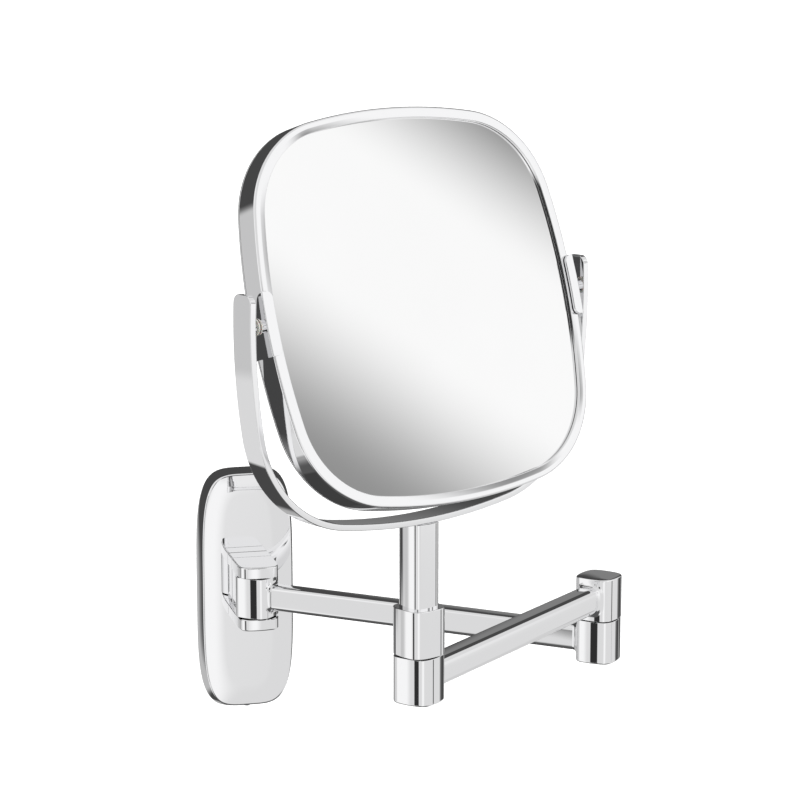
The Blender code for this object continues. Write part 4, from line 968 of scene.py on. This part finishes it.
class MIRROR_OT_rim(Operator):
    """Rim with its front lip, and the rear lip that closes it"""
    bl_idname = "mirror.rim"
    bl_label = "Rim"

    def execute(self, context):
        sizes = context.scene.mirror_head
        head = head_shape(sizes)
        front = -HEAD_LOW.y
        rear = -HEAD_HIGH.y
        under = front - sizes.lip_sheet
        edge = sizes.lip_edge

        def carried(corners, radii):
            rings = []
            for offset, forward in rounded(corners, radii, 6):
                rings.append([Vector((point.x, -forward, point.y)) for point in head.outline(offset)])
            return loft(rings, closed=True)

        fine = 0.2 * MM
        corners = [(0, rear), (0, front - sizes.lip_slope),
                   (-sizes.lip * 0.5, front - sizes.lip_slope * 0.4), (-sizes.lip, front),
                   (-sizes.lip, under), (-sizes.lip_sheet, under), (-sizes.lip_sheet, rear)]
        mesh = carried(corners, [fine, edge, 20 * MM, BROKEN_EDGE, 0.1 * MM, fine, fine])
        piece("rim_front", mesh, HEAD_AXES, "mirror_head", "polished_chrome", ["front_bezel"])
        back = -BACK_HIGH.y
        inside = back + sizes.lip_sheet
        step = -BACK_LOW.y
        outer_step = -sizes.lip_sheet - 0.3 * MM
        inner_step = -sizes.glass_margin + 0.3 * MM
        corners = [(0, inside), (outer_step, inside), (outer_step, step), (inner_step, step),
                   (inner_step, inside), (-sizes.lip, inside), (-sizes.lip, back), (0, back)]
        mesh = carried(corners, [fine, 0, fine, fine, 0, 0.1 * MM, 0.45 * MM, edge])
        piece("rim_rear", mesh, HEAD_AXES, "mirror_head", "polished_chrome", ["rear_bezel"])
        return {"FINISHED"}


class MIRROR_OT_clips(Operator):
    """C-shaped clips that wrap the rim at the pivots"""
    bl_idname = "mirror.clips"
    bl_label = "Clips"

    def execute(self, context):
        sizes = context.scene.mirror_head
        head = head_shape(sizes)
        inner = CLIP_HIGH.x - sizes.clip_sheet - sizes.half
        outer = inner + sizes.clip_sheet
        outer_y = (CLIP_HIGH.y - CLIP_LOW.y) / 2
        inner_y = outer_y - sizes.clip_sheet
        half = CLIP_HIGH.z
        reach = asin(half / (sizes.side_radius + outer))
        corner = sizes.clip_corner / sizes.side_radius
        # the leaves fall outwards as the lip under them does
        fallen = outer_y - sizes.lip_slope
        fine = 0.2 * MM
        radii = [0.8 * MM, 0.8 * MM, fine, fine, 0.4 * MM, 0.4 * MM, fine, fine]
        steps = 8
        for side, middle in (("left", pi), ("right", 0.0)):
            turns = []
            for i in range(steps + 1):
                share = 1 - cos(pi / 2 * i / steps)
                turns.append((-reach + corner * share, share))
            turns += [(-reach + corner + 2 * (reach - corner) * i / 14, 1.0) for i in range(1, 14)]
            turns += [(-turn, share) for turn, share in reversed(turns[:steps + 1])]
            rings = []
            for turn, share in turns:
                lap = sizes.clip_lap - sizes.clip_corner * (1 - sqrt(max(0, 1 - (1 - share) ** 2)))
                corners = [(outer, -fallen), (outer, fallen), (-lap, outer_y), (-lap, inner_y),
                           (inner, inner_y), (inner, -inner_y), (-lap, -inner_y), (-lap, -outer_y)]
                ring = []
                for offset, forward in rounded(corners, radii, 4):
                    place = head.point(middle + turn, offset)
                    ring.append(Vector((place.x, -forward, place.y)))
                rings.append(ring)
            piece(f"pivot_clip_{side}_wrap", loft(rings), HEAD_AXES, "mirror_head", "polished_chrome",
                  [f"pivot_clip_{side}"])
        return {"FINISHED"}


class MIRROR_OT_glasses(Operator):
    """Plane glass, hollow magnifying glass and the pad between them"""
    bl_idname = "mirror.glasses"
    bl_label = "Glasses"

    def execute(self, context):
        sizes = context.scene.mirror_head
        head = head_shape(sizes)
        front_low, front_high = extent("front_glass", HEAD_AXES)
        margin = sizes.glass_margin
        edge = BROKEN_EDGE
        front = -front_low.y
        rear = -front_high.y

        def flat_ring(inset, forward):
            return [Vector((point.x, -forward, point.y)) for point in head.outline(-margin - inset)]

        rings = [flat_ring(edge, front), flat_ring(edge * 0.3, front - edge * 0.3),
                 flat_ring(0, front - edge), flat_ring(0, rear + edge),
                 flat_ring(edge * 0.3, rear + edge * 0.3), flat_ring(edge, rear)]
        piece("front_glass_pane", loft(rings), HEAD_AXES, "mirror_head", "mirror_glass", ["front_glass"])

        corner = head.point(pi / 4, -margin).length

        def hollow(radius):
            return (corner ** 2 - radius ** 2) / (2 * sizes.hollow_radius)

        def bowed_ring(inset, share, forward):
            ring = []
            for point in head.outline(-inset):
                x, z = point.x * share, point.y * share
                ring.append(Vector((x, -forward - hollow(hypot(x, z)), z)))
            return ring

        back = -extent("rear_glass", HEAD_AXES)[1].y
        shares = [i / 16 for i in range(1, 17)]
        rings = [bowed_ring(margin + edge, share, back) for share in shares]
        rings += [bowed_ring(margin, 1, back + edge), bowed_ring(margin, 1, back + sizes.rear_glass - edge)]
        rings += [bowed_ring(margin + edge, share, back + sizes.rear_glass) for share in reversed(shares)]
        mesh = loft(rings, middles=(True, True))
        piece("rear_glass_pane", mesh, HEAD_AXES, "mirror_head", "mirror_glass", ["rear_glass"])

        pad_low, pad_high = extent("glass_packing", HEAD_AXES)
        inset = sizes.half - pad_high.x
        front = -pad_low.y
        back = -pad_high.y - hollow(head.point(pi / 4, -inset).length)
        shares = [i / 12 for i in range(1, 13)]
        rings = [bowed_ring(inset, share, back) for share in shares]
        rings.append([Vector((point.x, -front, point.y)) for point in head.outline(-inset)])
        pad = piece("glass_packing_pad", loft(rings, middles=(True, False)), HEAD_AXES, "mirror_head",
                    "grey_foam", ["glass_packing"])
        return {"FINISHED"}


# ---------------------------------------------------------------- stage

# Soft cards and flags round the object, seen only in the polish: azimuth (0 is the room, 90 is +X),
# elevation, half width, half height, roll and soft edge, all in degrees, and the grey of the card.
# A later card lies in front of an earlier one.
STUDIO_GREY = "#E2E2E2"
STUDIO_CARDS = (
    (0, -90, 46, 46, 0, 14, "#585858"),         # unlit floor
    (180, 4, 55, 58, 20, 3, "#484848"),         # unlit room behind the wall
    (160, 13, 6, 19, 5, 5, "#828282"),          # wall over the arms, and the wall's lit foot
    (136, -34, 22, 16, 5, 8, "#D6D6D6"),
    (184, -16, 6, 18, -15, 6, "#B3B3B3"),       # lit wall beside the cover
    (-156.5, -14, 15, 17, 0, 5, "#BEBEBE"),
    (-169, -50, 24, 7, 0, 2, "#404040"),
    (-114, -2, 11, 20, 0, 6, "#CACACA"),        # grey sides of the left card
    (-124, -27, 8, 12, 0, 2, "#E0E0E0"),
    (-89, 0, 15, 50, 0, 12, "#FFFFFF"),         # white card on the left
    (-54.5, -12, 7.5, 18, 0, 1.5, "#303030"),   # black flag between the cards
    (-18, 13, 5, 9, 10, 3, "#383838"),          # black flags beside the camera
    (-10, 0, 4, 10, 38, 3, "#383838"),
    (-4, -18, 9, 30, -20, 14, "#FFFFFF"),       # narrow white card ahead
    (15, 12, 14, 13, 0, 6, "#F2F2F2"),
    (66, -4, 36, 9, 0, 6, "#F0F0F0"),           # white card on the right
    (60, 14, 28, 24, 0, 8, "#FFFFFF"),
    (112, -13, 3, 9, 0, 3, "#808080"),          # black edges of the right card
    (120, -13, 6, 9, 0, 4, "#484848"),
    (87, -15, 1.2, 5, 0, 1, "#383838"),
    (72.6, 19, 1.3, 10, 32, 3.2, "#505050"),    # shaded edges that slant across the glass
    (64.5, 14.1, 2.3, 10, 34, 3.4, "#959595"),
)


def card_mask(tree, direction, azimuth, elevation, half_width, half_height, roll, soft):
    """Factor that is 1 inside a card and fades to 0 over its soft edge."""
    a, e, r = radians(azimuth), radians(elevation), radians(roll)
    ahead = Vector((sin(a) * cos(e), -cos(a) * cos(e), sin(e)))
    aside = Vector((cos(a), sin(a), 0))
    above = ahead.cross(aside)
    across = aside * cos(r) + above * sin(r)
    upward = above * cos(r) - aside * sin(r)
    x, y, z = (node(tree, "ShaderNodeVectorMath", {"operation": "DOT_PRODUCT"}, i0=direction,
                    i1=axis).outputs["Value"] for axis in (across, ahead, upward))
    turn = node(tree, "ShaderNodeMath", {"operation": "ARCTAN2"}, i0=x, i1=y).outputs[0]
    rise = node(tree, "ShaderNodeMath", {"operation": "ARCSINE"}, i0=z).outputs[0]
    masks = []
    for angle, half in ((turn, half_width), (rise, half_height)):
        away = node(tree, "ShaderNodeMath", {"operation": "ABSOLUTE"}, i0=angle).outputs[0]
        masks.append(node(tree, "ShaderNodeMapRange", {"interpolation_type": "SMOOTHSTEP"}, Value=away,
                          From_Min=radians(half - soft / 2), From_Max=radians(half + soft / 2),
                          To_Min=1.0, To_Max=0.0).outputs["Result"])
    return node(tree, "ShaderNodeMath", {"operation": "MULTIPLY"}, i0=masks[0], i1=masks[1]).outputs[0]


def studio_light(scene):
    """Even studio light with soft cards; the open background itself stays white."""
    world = bpy.data.worlds.new("studio")
    scene.world = world
    world.use_nodes = True
    tree = world.node_tree
    direction = node(tree, "ShaderNodeTexCoord").outputs["Generated"]
    tone = linear(STUDIO_GREY)[0]
    for *shape, grey in STUDIO_CARDS:
        tone = node(tree, "ShaderNodeMix", {"data_type": "FLOAT"}, i0=card_mask(tree, direction, *shape),
                         i2=tone, i3=linear(grey)[0]).outputs[0]
    seen = node(tree, "ShaderNodeLightPath").outputs["Is Camera Ray"]
    tone = node(tree, "ShaderNodeMix", {"data_type": "FLOAT"}, i0=seen, i2=tone, i3=1.0).outputs[0]
    tree.links.new(tone, tree.nodes["Background"].inputs["Color"])


class MIRROR_OT_stage(Operator):
    """Pale floor, soft studio surroundings and the camera"""
    bl_idname = "mirror.stage"
    bl_label = "Stage"

    def execute(self, context):
        scene = context.scene
        mesh = bmesh.new()
        reach = 60.0
        below = 1.1
        drop = CAD_BOX[0][2] - below
        mesh.faces.new([mesh.verts.new((x * reach, y * reach, drop))
                        for x, y in ((-1, -1), (1, -1), (1, 1), (-1, 1))])
        data = bpy.data.meshes.new("studio_floor")
        mesh.to_mesh(data)
        mesh.free()
        floor = bpy.data.objects.new("studio_floor", data)
        scene.collection.objects.link(floor)
        paint, tree, shader = finish("matt_studio_floor")
        if tree:
            shader.inputs["Base Color"].default_value = (*scene.mirror_colours.floor, 1)
            tree.links.new(between(tree, speckle(tree, 400), 0.85, 0.95), shader.inputs["Roughness"])
        data.materials.append(paint)
        floor.visible_glossy = False
        floor.visible_shadow = False

        sun = bpy.data.lights.new("floor_light", "SUN")
        sun.energy = 3.0
        sun.angle = radians(60)
        lamp = bpy.data.objects.new("floor_light", sun)
        lamp.rotation_euler = (radians(20), radians(-15), 0)
        lamp.visible_glossy = False
        scene.collection.objects.link(lamp)
        studio_light(scene)
        scene.view_settings.view_transform = "Standard"

        camera = bpy.data.cameras.new("camera")
        camera.lens = 124.97
        camera.sensor_width = 36
        camera.shift_y = -0.0037
        camera.clip_start = 0.05
        camera.clip_end = 200
        eye = bpy.data.objects.new("camera", camera)
        scene.collection.objects.link(eye)
        eye.location = (-0.28863, -1.57673, 0.41710)
        turn, pitch, roll = radians(13.676), radians(10.719), radians(-0.057)
        eye.rotation_euler = (Matrix.Rotation(-turn, 4, "Z") @ Matrix.Rotation(pi / 2 - pitch, 4, "X")
                              @ Matrix.Rotation(roll, 4, "Z")).to_euler()
        scene.camera = eye
        return {"FINISHED"}


# ---------------------------------------------------------------- panel and registration

OPERATORS = (MIRROR_OT_wall_cover, MIRROR_OT_wall_hinge, MIRROR_OT_wall_fixings, MIRROR_OT_arms,
             MIRROR_OT_swivel_parts, MIRROR_OT_post, MIRROR_OT_yoke, MIRROR_OT_pivots, MIRROR_OT_rim,
             MIRROR_OT_clips, MIRROR_OT_glasses, MIRROR_OT_stage)
GROUPS = {"mirror_head": MirrorHeadSizes, "mirror_arms": MirrorArmSizes, "mirror_wall": MirrorWallSizes,
          "mirror_colours": MirrorColours}


class MIRROR_PT_build(Panel):
    """Sizes, colours and steps of the mirror"""
    bl_label = "Shaving mirror"
    bl_space_type = "VIEW_3D"
    bl_region_type = "UI"
    bl_category = "Mirror"

    def draw(self, context):
        for key, group in GROUPS.items():
            box = self.layout.box()
            for name in group.__annotations__:
                box.prop(getattr(context.scene, key), name)
        for operator in OPERATORS:
            self.layout.operator(operator.bl_idname)


def register():
    """Makes the sizes, steps and panel known to Blender."""
    for cls in (*GROUPS.values(), *OPERATORS, MIRROR_PT_build):
        bpy.utils.register_class(cls)
    for key, group in GROUPS.items():
        setattr(bpy.types.Scene, key, PointerProperty(type=group))


def unregister():
    """Takes them away again."""
    for key in GROUPS:
        delattr(bpy.types.Scene, key)
    for cls in reversed((*GROUPS.values(), *OPERATORS, MIRROR_PT_build)):
        bpy.utils.unregister_class(cls)


def main():
    """Builds every piece."""
    register()
    for operator in OPERATORS:
        getattr(bpy.ops.mirror, operator.bl_idname.split(".")[1])()


if __name__ == "__main__":
    main()
